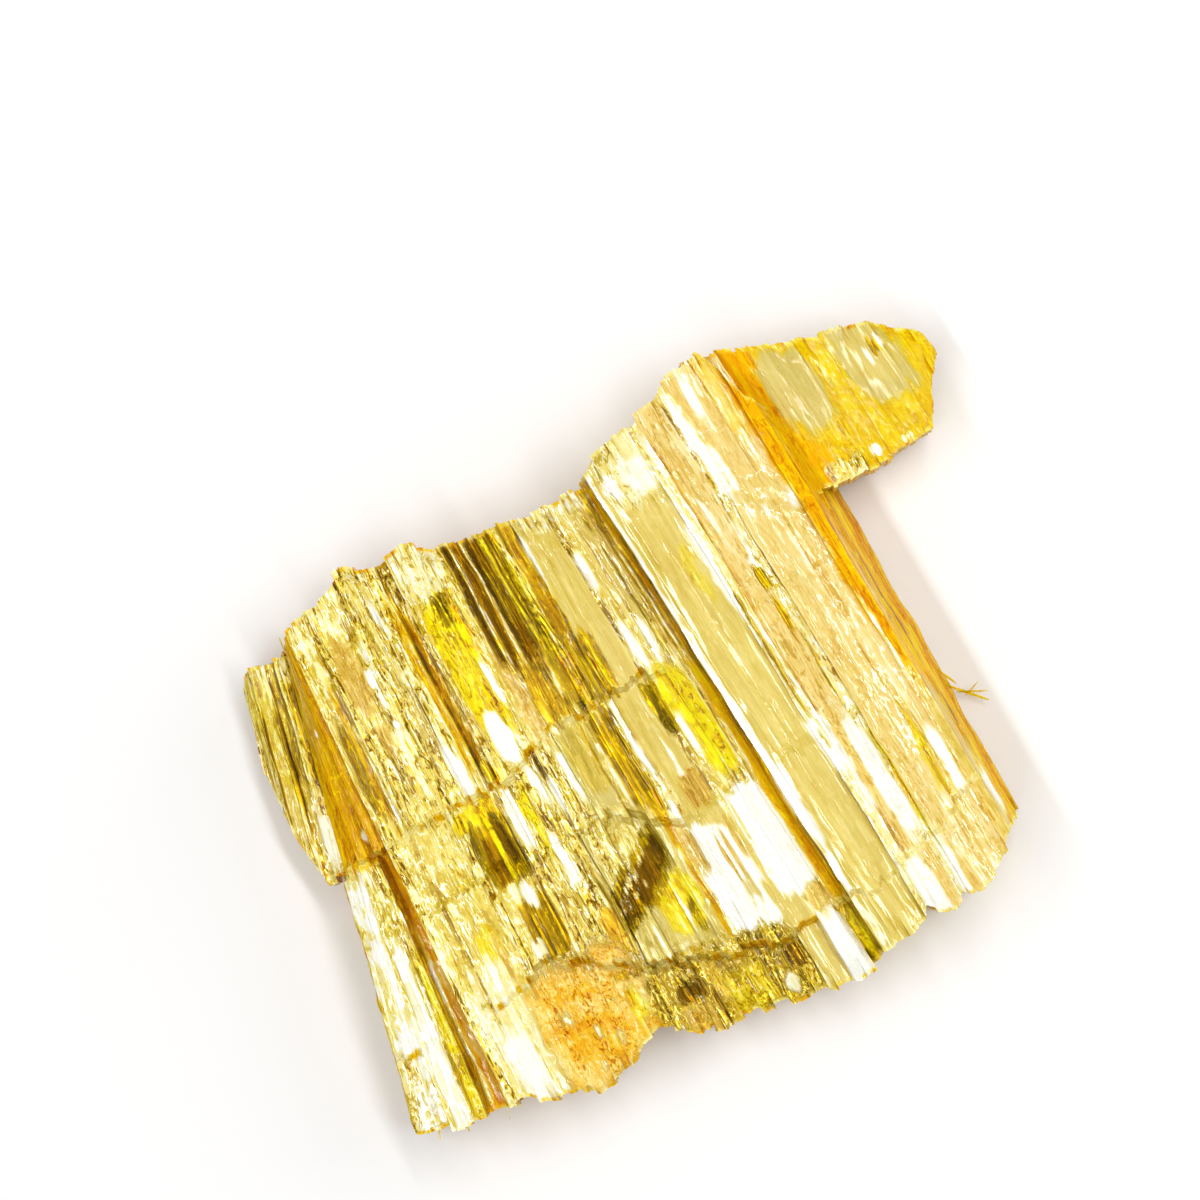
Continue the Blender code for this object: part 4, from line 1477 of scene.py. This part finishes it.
CORE_PATCHES = patches_of(
    (GOLD, 1.190, 1.33, 0.455, 0.51),
    (OLIVE, 1.215, 1.33, 0.49, 0.63, 1.0, 0.15, 6.0),
    (UMBER, 1.235, 1.268, 0.52, 0.62, 0.9, 0.15),
    (UMBER, 1.292, 1.318, 0.50, 0.60, 0.8, 0.15),
    (GOLD, 1.274, 1.282, 0.50, 0.61, 0.9, 0.10, 8.0),
    (WHITE, 1.344, 1.375, 0.465, 0.60, 1.0, 0.18),
    (OLIVE, 1.378, 1.384, 0.47, 0.60, 0.8, 0.10, 8.0),
    (GOLD, 1.385, 1.415, 0.48, 0.60),
    (WHITE, 1.405, 1.43, 0.57, 0.68, 1.0, 0.18),
    (WHITE, 1.44, 1.46, 0.44, 0.53, 1.0, 0.18),
    (WHITE, 1.475, 1.49, 0.49, 0.56, 1.0, 0.18),
    (WHITE, 1.535, 1.55, 0.44, 0.55, 1.0, 0.18),
    (KHAKI, 1.556, 1.638, 0.40, 0.60, 1.0, 0.15, 6.0),
    (HONEY, 1.560, 1.632, 0.41, 0.56, 0.3, 0.2, 6.0),
    (HONEY, 1.628, 1.634, 0.40, 0.60, 0.8, 0.08, 8.0),
    (HONEY, 1.655, 1.724, 0.40, 0.67, 1.0, 0.12, 8.0),
    (CREAM, 1.645, 1.652, 0.40, 0.66, 0.8, 0.08, 8.0),
    (WHITE, 1.730, 1.750, 0.40, 0.60, 1.0, 0.15),
    (CREAM, 1.728, 1.765, 0.58, 0.68, 0.9, 0.2),
    (WHITE, 1.80, 1.815, 0.47, 0.62, 1.0, 0.15, 3.5, -0.6),
    (OLIVE, 1.826, 1.876, 0.39, 0.525, 1.0, 0.15, 6.0),
    (SILVER, 1.84, 1.88, 0.53, 0.66, 1.0, 0.2),
    (GOLD, 1.874, 1.967, 0.39, 0.64),
    (WHITE, 1.872, 1.892, 0.50, 0.60, 1.0, 0.15, 2.5, -0.8),
    (TAN, 1.785, 1.853, 0.60, 0.675, 1.0, 0.12, 3.0, -0.3),
    (WHITE, 1.716, 1.853, 0.71, 0.985, 1.0, 0.15, 3.5, 0.3),
    (TAN, 1.700, 1.745, 0.67, 0.80, 0.9, 0.2, 3.0),
    (TAN, 1.795, 1.803, 0.76, 0.88, 0.9, 0.08, 3.0, 0.8),
    (TAN, 1.815, 1.822, 0.72, 0.86, 0.9, 0.08, 3.0, 0.8),
    (TAN, 1.838, 1.852, 0.69, 0.80, 0.9, 0.10, 3.0, 0.5),
    (KHAKI, 1.80, 1.825, 0.85, 0.89, 0.7, 0.15, 3.0),
    (STRAW, 1.853, 1.868, 0.70, 0.90, 0.9, 0.1, 6.0),
    (STRAW, 1.840, 1.905, 0.89, 1.02, 1.0, 0.15, 6.0, 0.8),
    (WHITE, 1.866, 1.974, 0.68, 0.93, 1.0, 0.12, 6.0),
    (CREAM, 1.872, 1.880, 0.69, 0.82, 0.9, 0.06, 6.0),
    (AMBER, 1.976, 2.012, 0.40, 1.00, 1.0, 0.08, 12.0),
    (ORANGE, 1.983, 2.008, 0.40, 1.00, 1.0, 0.08, 12.0),
    (CREAM, 1.975, 1.981, 0.55, 0.66, 0.9, 0.06),
    (KHAKI, 1.470, 1.70, 0.62, 0.93, 0.8, 0.3, 6.0),
    (SILVER, 1.50, 1.64, 0.63, 0.80, 0.8, 0.3, 6.0),
    (AMBER, 1.697, 1.711, 0.67, 0.95, 1.0, 0.10, 8.0),
    (GOLD, 1.575, 1.690, 0.77, 0.88, 0.9, 0.2, 3.5, -0.3),
    (OLIVE, 1.475, 1.665, 0.705, 0.81, 1.0, 0.12, 6.0, -0.85),
    (UMBER, 1.485, 1.655, 0.725, 0.792, 1.0, 0.12, 6.0, -0.85),
    (CREAM, 1.49, 1.62, 0.738, 0.742, 0.7, 0.05, 6.0, -1.05),
    (CREAM, 1.48, 1.59, 0.772, 0.776, 0.7, 0.05, 6.0, -0.5),
    (OLIVE, 1.645, 1.665, 0.835, 0.89, 0.9, 0.15),
    (WHITE, 1.533, 1.542, 0.83, 0.93, 1.0, 0.08),
    (WHITE, 1.63, 1.638, 0.78, 0.90, 1.0, 0.08),
    (AMBER, 1.427, 1.472, 0.76, 0.86, 0.9, 0.2),
    (HONEY, 1.465, 1.472, 0.66, 0.86, 0.9, 0.08, 8.0),
    (HONEY, 1.25, 1.336, 0.67, 0.80, 1.0, 0.15, 6.0),
    (WHITE, 1.275, 1.31, 0.63, 0.70, 1.0, 0.15, 2.0),
    (WHITE, 1.235, 1.27, 0.755, 0.785, 0.9, 0.15, 2.0),
    (GOLD, 1.105, 1.172, 0.68, 0.75, 0.8, 0.2, 3.0),
    (TAN, 1.145, 1.175, 0.70, 0.80, 0.8, 0.2, 3.0),
)
NEAR_PATCHES = patches_of(
    (HONEY, 0.62, 0.79, 0.62, 1.05, 0.6, 0.10, 12.0),
    (GOLD, 0.65, 0.75, 0.62, 1.05, 0.9, 0.10, 8.0),
    (CREAM, 0.80, 0.87, 0.60, 1.05, 1.0, 0.08, 12.0),
    (WHITE, 0.40, 0.58, 0.60, 1.05, 0.9, 0.10, 8.0),
    (AMBER, 0.76, 1.0, 0.45, 0.60, 1.0, 0.10, 12.0),
    (ORANGE, 0.86, 1.0, 0.47, 1.10, 1.0, 0.06, 12.0),
    (PEACH, 0.89, 0.97, 0.64, 1.00, 0.9, 0.10, 8.0),
    (CREAM, 1.03, 1.16, 0.74, 1.10),
    (WHITE, 1.05, 1.13, 0.88, 1.05, 0.9, 0.4),
    (APRICOT, 1.155, 1.46, 0.815, 1.20, 1.0, 0.5, 6.0),
    (MARMALADE, 1.19, 1.34, 0.86, 0.89, 0.8, 0.3, 3.0, 0.3),
    (MARMALADE, 1.20, 1.38, 0.93, 1.03, 0.9, 0.6, 2.5, 0.3),
    (MARMALADE, 1.38, 1.46, 1.00, 1.10, 0.9, 0.3, 2.5),
    (BUFF, 1.165, 1.30, 1.04, 1.25, 0.9, 0.6, 3.0),
    (BUFF, 1.30, 1.38, 1.08, 1.25, 0.8, 0.4, 3.0),
    (GOLD, 1.385, 1.43, 0.93, 0.99, 0.7, 0.3, 2.5),
    (CREAM, 1.215, 1.245, 0.905, 0.925, 0.9, 0.15, 2.0, 0.4),
    (WHITE, 1.275, 1.295, 0.955, 0.97, 0.9, 0.12, 2.0, 0.5),
    (CREAM, 1.325, 1.345, 0.985, 1.005, 0.9, 0.12, 2.0, -0.4),
    (WHITE, 1.35, 1.365, 0.92, 0.935, 0.9, 0.10, 2.0),
    (CREAM, 1.36, 1.385, 1.04, 1.055, 0.9, 0.12, 2.0, 0.6),
    (CREAM, 1.255, 1.275, 1.02, 1.035, 0.8, 0.12, 2.0),
    (TOFFEE, 1.44, 1.853, 0.93, 1.30, 1.0, 0.25, 12.0, 0.15),
    (CREAM, 1.30, 1.60, 0.868, 0.874, 0.9, 0.05, 6.0, 0.35),
    (HONEY, 1.38, 1.66, 0.905, 0.915, 0.9, 0.08, 6.0, 0.25),
    (CREAM, 1.48, 1.68, 0.922, 0.928, 0.9, 0.05, 6.0, 0.2),
    (UMBER, 1.50, 1.58, 0.975, 1.01, 0.9, 0.12, 3.0),
    (UMBER, 1.585, 1.60, 1.01, 1.08, 0.9, 0.10, 3.0),
    (TAN, 1.50, 1.57, 1.02, 1.10, 0.9, 0.15, 6.0, 0.5),
    (GOLD, 1.62, 1.74, 1.00, 1.10, 0.5, 0.3),
    (UMBER, 1.79, 1.84, 1.01, 1.06, 0.7, 0.12, 3.0),
    (WHITE, 1.76, 1.80, 1.06, 1.10, 0.9, 0.15, 2.0),
    (WHITE, 1.482, 1.49, 1.04, 1.10, 0.9, 0.08),
    (STRAW, 1.856, 1.912, 0.94, 1.25, 1.0, 0.12, 8.0),
    (WHITE, 1.914, 1.975, 0.99, 1.25, 1.0, 0.12, 6.0),
    (TAN, 1.92, 1.972, 0.93, 0.98, 0.7, 0.12, 3.0),
    (OLIVE, 1.978, 2.02, 1.00, 1.25, 1.0, 0.12, 8.0),
    (GOLD, 1.985, 2.01, 1.02, 1.12, 0.8, 0.2),
)
RIGHT_PATCHES = patches_of(
    (WHITE, 2.022, 2.042, -0.10, 0.45, 1.0, 0.1),
    (WHITE, 2.022, 2.062, 0.30, 0.93, 1.0, 0.1),
    (WHITE, 2.022, 2.085, 0.62, 0.90, 1.0, 0.2),
    (ORANGE, 2.925, 4.2, -0.4, 0.66, 1.0, 0.4, 12.0),
    (CREAM, 2.06, 2.40, -0.20, 0.07),
    (WHITE, 2.18, 2.33, -0.03, 0.06, 0.8, 0.18),
    (GOLD, 2.21, 2.28, 0.19, 0.30, 0.35),
    (WHITE, 2.32, 2.36, 0.13, 0.38, 1.0, 0.18),
    (WHITE, 2.32, 2.39, 0.61, 0.78, 1.0, 0.18),
    (WHITE, 2.59, 2.65, -0.10, 0.14, 1.0, 0.18, 2.5, 0.5),
    (HONEY, 2.362, 2.378, 0.37, 0.64, 0.8, 0.08, 4.0),
    (HONEY, 2.40, 2.412, 0.15, 0.34, 0.7, 0.08, 4.0),
    (HONEY, 2.555, 2.567, 0.48, 0.66, 0.7, 0.08, 4.0),
    (GOLD, 2.60, 2.625, 0.70, 0.92, 0.6, 0.1),
    (GOLD, 2.805, 2.83, 0.72, 0.90, 0.7, 0.1),
    (HONEY, 2.845, 2.855, 0.70, 0.92, 0.7, 0.08, 4.0),
    (OLIVE, 2.515, 2.567, 0.295, 0.35, 1.0, 0.12, 3.0),
    (HONEY, 2.515, 2.55, 0.37, 0.45, 1.0, 0.12, 3.0),
    (WHITE, 2.515, 2.56, 0.265, 0.29, 1.0, 0.12, 2.0),
    (WHITE, 2.48, 2.585, 0.65, 0.95, 1.0, 0.18),
    (WHITE, 2.38, 2.49, 0.97, 1.20, 1.0, 0.18),
    (WHITE, 2.70, 2.75, -0.16, -0.02, 1.0, 0.18),
    (WHITE, 2.73, 2.77, 0.18, 0.22, 1.0, 0.18),
    (WHITE, 2.875, 2.92, 0.17, 0.23, 1.0, 0.18),
    (WHITE, 2.93, 2.95, 0.50, 0.66, 1.0, 0.12),
    (GOLD, 2.78, 2.83, 0.76, 0.87, 0.6),
    (WHITE, 2.86, 2.92, 0.76, 0.90, 1.0, 0.18),
    (WHITE, 2.60, 2.65, 0.96, 1.20, 1.0, 0.18),
    (WHITE, 2.395, 2.43, 0.64, 0.86, 1.0, 0.15),
    (WHITE, 2.10, 2.15, -0.02, 0.05, 1.0, 0.15, 3.0),
    (WHITE, 2.46, 2.49, 0.10, 0.22, 0.9, 0.12, 3.0, 0.4),
    (WHITE, 2.555, 2.575, 0.20, 0.27, 0.9, 0.12, 3.0),
    (WHITE, 2.78, 2.80, 0.27, 0.36, 0.9, 0.12, 3.0, 0.4),
    (WHITE, 2.655, 2.685, 0.02, 0.17, 1.0, 0.15, 3.0, 0.6),
    (WHITE, 2.845, 2.86, -0.12, 0.02, 0.9, 0.12, 3.0),
    (ORANGE, 2.80, 3.02, -0.32, 0.0, 0.4, 0.6, 3.0),
    (PEACH, 3.10, 3.14, -0.20, 0.66, 0.8, 0.06, 12.0),
    (AMBER, 3.20, 3.27, -0.20, 0.80, 0.9, 0.08, 12.0),
    (YELLOW, 3.36, 3.41, -0.10, 0.90, 1.0, 0.06, 12.0),
    (HONEY, 3.46, 3.50, 0.0, 0.90, 0.8, 0.06, 12.0),
    (YELLOW, 3.66, 3.72, 0.0, 0.90, 0.9, 0.06, 12.0),
    (STRAW, 2.95, 3.3, 0.66, 1.20, 0.7, 0.3, 8.0),
    (WHITE, 3.2, 3.5, 0.87, 0.98, 1.0, 0.18),
)


def sheet_rails(
    far: Sequence[Point], near: Sequence[Point], run: Point, shares: Sequence[float]
) -> list[Rail]:
    """Rails of a sheet with parallel laths.

    Args:
        far: Plan points of its far edge.
        near: Plan points of its near edge.
        run: Direction of its laths.
        shares: Width of each lath as a share of the whole.

    Returns:
        The rail on each border between two laths, and one on each side.
    """
    along = Vector(run).normalized()
    side = Vector((-along.y, along.x))
    edges = [[(Vector(point).dot(side), Vector(point).dot(along)) for point in edge] for edge in (far, near)]
    low, high = max(edge[0][0] for edge in edges), min(edge[-1][0] for edge in edges)
    places = low + (high - low) * np.append(0.0, np.cumsum(shares) / sum(shares))
    ends = [np.interp(places, *zip(*edge)) for edge in edges]
    return [
        tuple(tuple(side * place + along * end) for end in both) for place, *both in zip(places, *ends)
    ]


@dataclass(frozen=True)
class SheetEdge:
    """The outline and laths of a sheet that sticks out from under the bundle.

    Attributes:
        name: Name of its object.
        run: Direction of its laths.
        far: Plan points of its far edge.
        near: Plan points of its near edge.
        ridges: Share of the width, left height, right height and look of each lath.
        patches: Stretches with a look of their own.
        seed: Picks its fibres.
    """

    name: str
    run: Point
    far: tuple[Point, ...]
    near: tuple[Point, ...]
    ridges: tuple[tuple[float, float, float, Look], ...]
    patches: tuple[Patch, ...]
    seed: int

    def pack(self) -> Pack:
        """The sheet as a pack of laths."""
        shares = [ridge[0] for ridge in self.ridges]
        rails = sheet_rails(self.far, self.near, self.run, shares)
        bands = [(Lath(1.0, left, right, (0.0,), 0.0, 0.0, look),) for _, left, right, look in self.ridges]
        marks = range(len(rails))
        return Pack(self.name, rails, bands, marks, patches=self.patches, floor=0.6, seed=self.seed)


LEFT_SHEET = SheetEdge(
    name="left_sheet",
    run=(0.284, -0.959),
    far=((-24.0, 2.3), (-23.8, 3.7), (-21.3, 4.4), (-17.5, 4.2)),
    near=((-22.4, -2.8), (-21.1, -5.4), (-19.5, -8.3), (-18.5, -9.7), (-17.4, -9.2), (-14.8, -9.0)),
    ridges=(
        (0.14, 2.9, 3.6, SILVER),
        (0.20, 4.1, 4.0, SILVER),
        (0.12, 3.6, 3.7, SILVER),
        (0.54, 4.3, 4.2, SILVER),
    ),
    patches=patches_of(
        (GOLD, 0.2, 3.8, 0.10, 0.66, 0.4, 0.3, 6.0),
        (OLIVE, 0.95, 1.15, 0.25, 0.95, 0.9, 0.1, 8.0),
        (OLIVE, 1.7, 2.2, 0.22, 0.70, 0.8, 0.15, 6.0),
        (HONEY, 2.4, 2.9, 0.10, 0.60, 0.8, 0.15, 6.0),
        (HONEY, 3.1, 3.3, 0.10, 0.55, 0.8, 0.1, 6.0),
        (UMBER, 1.02, 1.09, 0.30, 0.92, 0.9, 0.06, 12.0),
        (UMBER, 1.95, 2.08, 0.25, 0.68, 0.9, 0.06, 12.0),
        (UMBER, 0.35, 0.48, 0.35, 0.90, 0.7, 0.06, 12.0),
        (CREAM, 2.3, 3.75, 0.60, 1.0, 0.9, 0.3, 4.0),
        (WHITE, 2.85, 3.45, 0.70, 0.93, 0.9, 0.25, 3.0),
    ),
    seed=301,
)
REAR_SHEET = SheetEdge(
    name="rear_sheet",
    run=(0.515, -0.857),
    far=(
        (3.2, 22.0), (5.2, 22.7), (8.5, 23.3), (11.0, 23.7), (13.5, 24.7), (15.4, 25.0),
        (16.9, 24.2), (18.6, 24.1), (19.3, 23.5),
    ),
    near=((7.0, 12.5), (12.9, 14.4), (14.4, 15.4), (17.4, 16.9), (18.8, 18.1), (18.7, 20.9), (19.0, 22.6)),
    ridges=(
        (0.16, 6.5, 6.3, PEACH),
        (0.14, 5.6, 5.5, ORANGE),
        (0.17, 5.6, 5.5, YELLOW),
        (0.12, 5.3, 5.2, YELLOW),
        (0.22, 5.3, 5.2, YELLOW),
        (0.10, 5.0, 4.8, YELLOW),
        (0.09, 4.4, 3.9, YELLOW),
    ),
    patches=patches_of(
        (KHAKI, 1.8, 3.2, 0.04, 0.62, 1.0, 0.5, 3.0),
        (KHAKI, 4.1, 5.6, -0.05, 0.66, 1.0, 0.5, 3.0, 0.3),
        (STRAW, 4.3, 5.3, 0.05, 0.50, 0.6, 0.5, 3.0),
        (HONEY, 4.75, 4.95, 0.18, 0.28, 0.9, 0.12, 4.0),
        (WHITE, 4.95, 5.10, 0.15, 0.23, 1.0, 0.1, 2.0),
        (WHITE, 4.6, 4.7, 0.22, 0.36, 1.0, 0.08, 2.0),
        (SILVER, 3.35, 3.5, 0.22, 0.40, 0.8, 0.1),
        (ORANGE, 1.0, 2.4, 0.70, 1.10, 0.8, 0.3, 4.0),
        (SILVER, 2.0, 3.2, 0.86, 1.05, 0.9, 0.3),
        (WHITE, 3.4, 3.8, 0.86, 0.95, 1.0, 0.15, 2.0),
        (WHITE, 4.3, 4.6, 0.90, 0.97, 0.8, 0.15, 2.0),
    ),
    seed=401,
)


SLAB_PATCHES = (*FAR_PATCHES, *CORE_PATCHES, *NEAR_PATCHES, *RIGHT_PATCHES)
LEFT_SHARE = 7  # how many of the middle laths belong to the left pack


def widened(laths: Sequence[Lath]) -> list[Lath]:
    """Laths whose shares are counted anew over their own width."""
    total = sum(lath.share for lath in laths)
    return [replace(lath, share=lath.share / total) for lath in laths]


def slab_packs() -> list[Pack]:
    """The packs that the bundle is made of, side by side, and the two lower sheets."""
    left, middle = MIDDLE_LATHS[:LEFT_SHARE], MIDDLE_LATHS[LEFT_SHARE:]
    share = sum(lath.share for lath in left)
    split = tuple(tuple(Vector(a).lerp(b, share)) for a, b in zip(SLAB_RAILS[1], SLAB_RAILS[2]))
    bundle = (
        ("laths_left", (*SLAB_RAILS[:2], split), (LEFT_LATHS, left), (0, 1, 1 + share), 11, AMBER),
        ("laths_middle", (split, SLAB_RAILS[2]), (middle,), (1 + share, 2), 111, AMBER),
        ("laths_right", SLAB_RAILS[2:], (RIGHT_LATHS, WALL_LATHS), (2, 3, 4), 211, STRAW),
    )
    common = {"fractures": SLAB_FRACTURES, "ramps": FRACTURE_RAMPS, "patches": SLAB_PATCHES}
    packs = []
    for name, rails, bands, marks, seed, look in bundle:
        laths = [widened(band) for band in bands]
        packs.append(Pack(name, rails, laths, marks, **common, seed=seed, seam=(CHALK, look)))
    return [*packs, LEFT_SHEET.pack(), REAR_SHEET.pack()]


WALL_FIBRES = (
    ((19.2, 2.7, 0.9), (22.3, 1.7, 0.7), 0.09),
    ((20.0, 2.2, 0.8), (22.0, 2.3, 0.9), 0.06),
    ((20.6, 1.9, 0.9), (21.5, 2.9, 0.8), 0.05),
    ((18.9, 3.5, 2.2), (20.2, 2.6, 2.0), 0.07),
)
WALL_SEED, FRINGE_SEED = 700, 800
FRINGE_DRAWS = 77
FRINGE_COUNT = 14
FRINGE_HEIGHTS = (1.5, 6.0)
FRINGE_SKEW, FRINGE_RISE = (-0.35, 0.35), (-0.2, 0.2)
FRINGE_LENGTHS, FRINGE_BREADTHS = (0.3, 0.8), (0.03, 0.07)
FRINGE_LOOKS = (STRAW, GOLD, CREAM)


def wall_splinters() -> list[Splinter]:
    """The fibres at the foot of the wall."""
    bits = []
    for index, (start, end, breadth) in enumerate(WALL_FIBRES):
        start, end = Vector(start), Vector(end)
        bits.append(Splinter((start + end) / 2, (end - start) / 2, breadth, YELLOW, WALL_SEED + index))
    return bits


def fringe_splinters() -> list[Splinter]:
    """The fibres that stand out from the ends of the laths, a third of them at the far ends."""
    picker = np.random.default_rng(FRINGE_DRAWS)
    bits = []
    for index in range(FRINGE_COUNT):
        band, share, height = picker.integers(0, 3), picker.uniform(), picker.uniform(*FRINGE_HEIGHTS)
        ends = [Vector(a).lerp(b, share) for a, b in zip(SLAB_RAILS[band], SLAB_RAILS[band + 1])]
        back, foot = ends if index % 3 else reversed(ends)
        outward = (foot - back).normalized()
        skew = Vector((-outward.y, outward.x)) * picker.uniform(*FRINGE_SKEW)
        run = Vector((*(outward + skew), picker.uniform(*FRINGE_RISE))) * picker.uniform(*FRINGE_LENGTHS)
        breadth, look = picker.uniform(*FRINGE_BREADTHS), FRINGE_LOOKS[index % 3]
        bits.append(Splinter(Vector((*foot, height)), run, breadth, look, FRINGE_SEED + index))
    return bits


# ---------------------------------------------------------------------------------------------------------
# The studio


def facing(toward: Vector, up: Vector) -> Euler:
    """Rotation of a lamp or camera that stands in a direction and looks back from it.

    Args:
        toward: Unit direction from what it looks at.
        up: Direction that is up in its picture.

    Returns:
        The rotation.
    """
    right = up.cross(toward).normalized()
    return Matrix((right, toward.cross(right), toward)).transposed().to_euler()


@dataclass(frozen=True)
class Lamp:
    """A rectangular light that faces the slab.

    Attributes:
        name: Its name.
        direction: Where it stands, seen from the slab.
        size: Its width and height, in metres.
        watts: Its power.
    """

    name: str
    direction: Sequence[float]
    size: Point
    watts: float

    def build(self, target: Vector, distance: float, turn: float) -> None:
        """Make the light.

        Args:
            target: The point that it faces.
            distance: How far from that point it stands, in metres.
            turn: Direction of its height in plan, in radians from +Y towards +X.
        """
        data = bpy.data.lights.new(self.name, "AREA")
        data.shape = "RECTANGLE"
        data.size, data.size_y = self.size
        data.energy = self.watts
        lamp = in_scene(self.name, data)
        toward = Vector(self.direction).normalized()
        lamp.location = target + toward * distance
        lamp.rotation_euler = facing(toward, Vector((math.sin(turn), math.cos(turn), 0.0)))


@dataclass(frozen=True)
class Studio:
    """A pale floor, soft lights and the camera.

    Attributes:
        aim: The point at the picture's middle, in millimetres.
        view_from: Direction of the camera, seen from that point.
        picture_width: Width that the picture shows at that point, in millimetres.
        lens: Focal length, in millimetres.
        sensor: Width of the sensor, in millimetres.
        clearance: Distance from the camera at which the picture begins, in metres.
        grain_turn: Direction of the laths, in degrees from +Y towards +X.
        lit_point: The point that the lights face, in metres.
        lamp_distance: How far from it they stand, in metres.
        ambience: Strength of the light from all around.
        floor_reach: Half the width of the floor, in metres.
        floor_grey: How pale the floor is.
        floor_roughness: Its roughness.
    """

    aim: Triple = (-1.53, 7.41, 8.0)
    view_from: Triple = (0.05, -0.08, 0.995)
    picture_width: float = 72.0
    lens: float = 100.0
    sensor: float = 36.0
    clearance: float = 0.005
    grain_turn: float = -31.0
    lit_point: Triple = (0.0, 0.0, 0.006)
    lamp_distance: float = 0.40
    ambience: float = 0.30
    floor_reach: float = 1.5
    floor_grey: float = 0.9
    floor_roughness: float = 0.9

    def build(self) -> None:
        """Make the floor, the lights, the world and the camera."""
        self.floor()
        turn = math.radians(self.grain_turn)
        for lamp in self.lamps(turn):
            lamp.build(Vector(self.lit_point), self.lamp_distance, turn)
        world = bpy.data.worlds.new("studio")
        world.use_nodes = True
        background = world.node_tree.nodes["Background"]
        background.inputs["Color"].default_value = (1.0, 1.0, 1.0, 1.0)
        background.inputs["Strength"].default_value = self.ambience
        bpy.context.scene.world = world
        bpy.context.scene.view_settings.view_transform = "Standard"
        self.camera()

    def lamps(self, turn: float) -> list[Lamp]:
        """The lights: one overhead, a strip on each side of the laths and a panel low on the right."""
        side = Vector((math.cos(turn), -math.sin(turn), 0.0))
        high = Vector((0.0, 0.0, 1.0))
        return [
            Lamp("overhead", (0.0, 0.1, 1.0), (0.16, 0.16), 0.09),
            Lamp("strip_right", high + 0.36 * side, (0.03, 0.40), 0.7),
            Lamp("strip_left", high - 0.45 * side, (0.03, 0.40), 0.7),
            Lamp("side_panel", 0.45 * high + side, (0.30, 0.30), 0.5),
        ]

    def floor(self) -> None:
        """The pale floor."""
        shape = bmesh.new()
        bmesh.ops.create_grid(shape, x_segments=1, y_segments=1, size=self.floor_reach)
        mesh = bpy.data.meshes.new("studio_floor")
        shape.to_mesh(mesh)
        shape.free()
        floor = in_scene("studio_floor", mesh)
        material = bpy.data.materials.new("floor_paper")
        material.use_nodes = True
        shader = material.node_tree.nodes["Principled BSDF"]
        shader.inputs["Base Color"].default_value = (*[self.floor_grey] * 3, 1.0)
        shader.inputs["Roughness"].default_value = self.floor_roughness
        shader.inputs["Specular IOR Level"].default_value = 0.0
        mesh.materials.append(material)

    def camera(self) -> None:
        """The camera, straight above the slab but for a few degrees."""
        data = bpy.data.cameras.new("camera")
        data.lens, data.sensor_width = self.lens, self.sensor
        data.clip_start = self.clearance
        camera = in_scene("camera", data)
        toward = Vector(self.view_from).normalized()
        distance = self.picture_width * MM * self.lens / self.sensor
        camera.location = Vector(self.aim) * MM + toward * distance
        camera.rotation_euler = facing(toward, Vector((0.0, 1.0, 0.0)))
        bpy.context.scene.camera = camera


def main() -> None:
    """Build the slab's pieces and the studio."""
    logging.basicConfig(level=logging.INFO, format="%(message)s")
    stone = Stone().material()
    pieces = [pack.build() for pack in slab_packs()]
    pieces.append(splinter_mesh("splinters", wall_splinters() + fringe_splinters()))
    for piece in pieces:
        piece.data.materials.append(stone)
        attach(piece, ROOT)
        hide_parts(SLAB_NODE)
        LOG.info("%s: %d faces", piece.name, len(piece.data.polygons))
    Studio().build()


if __name__ == "__main__":
    main()
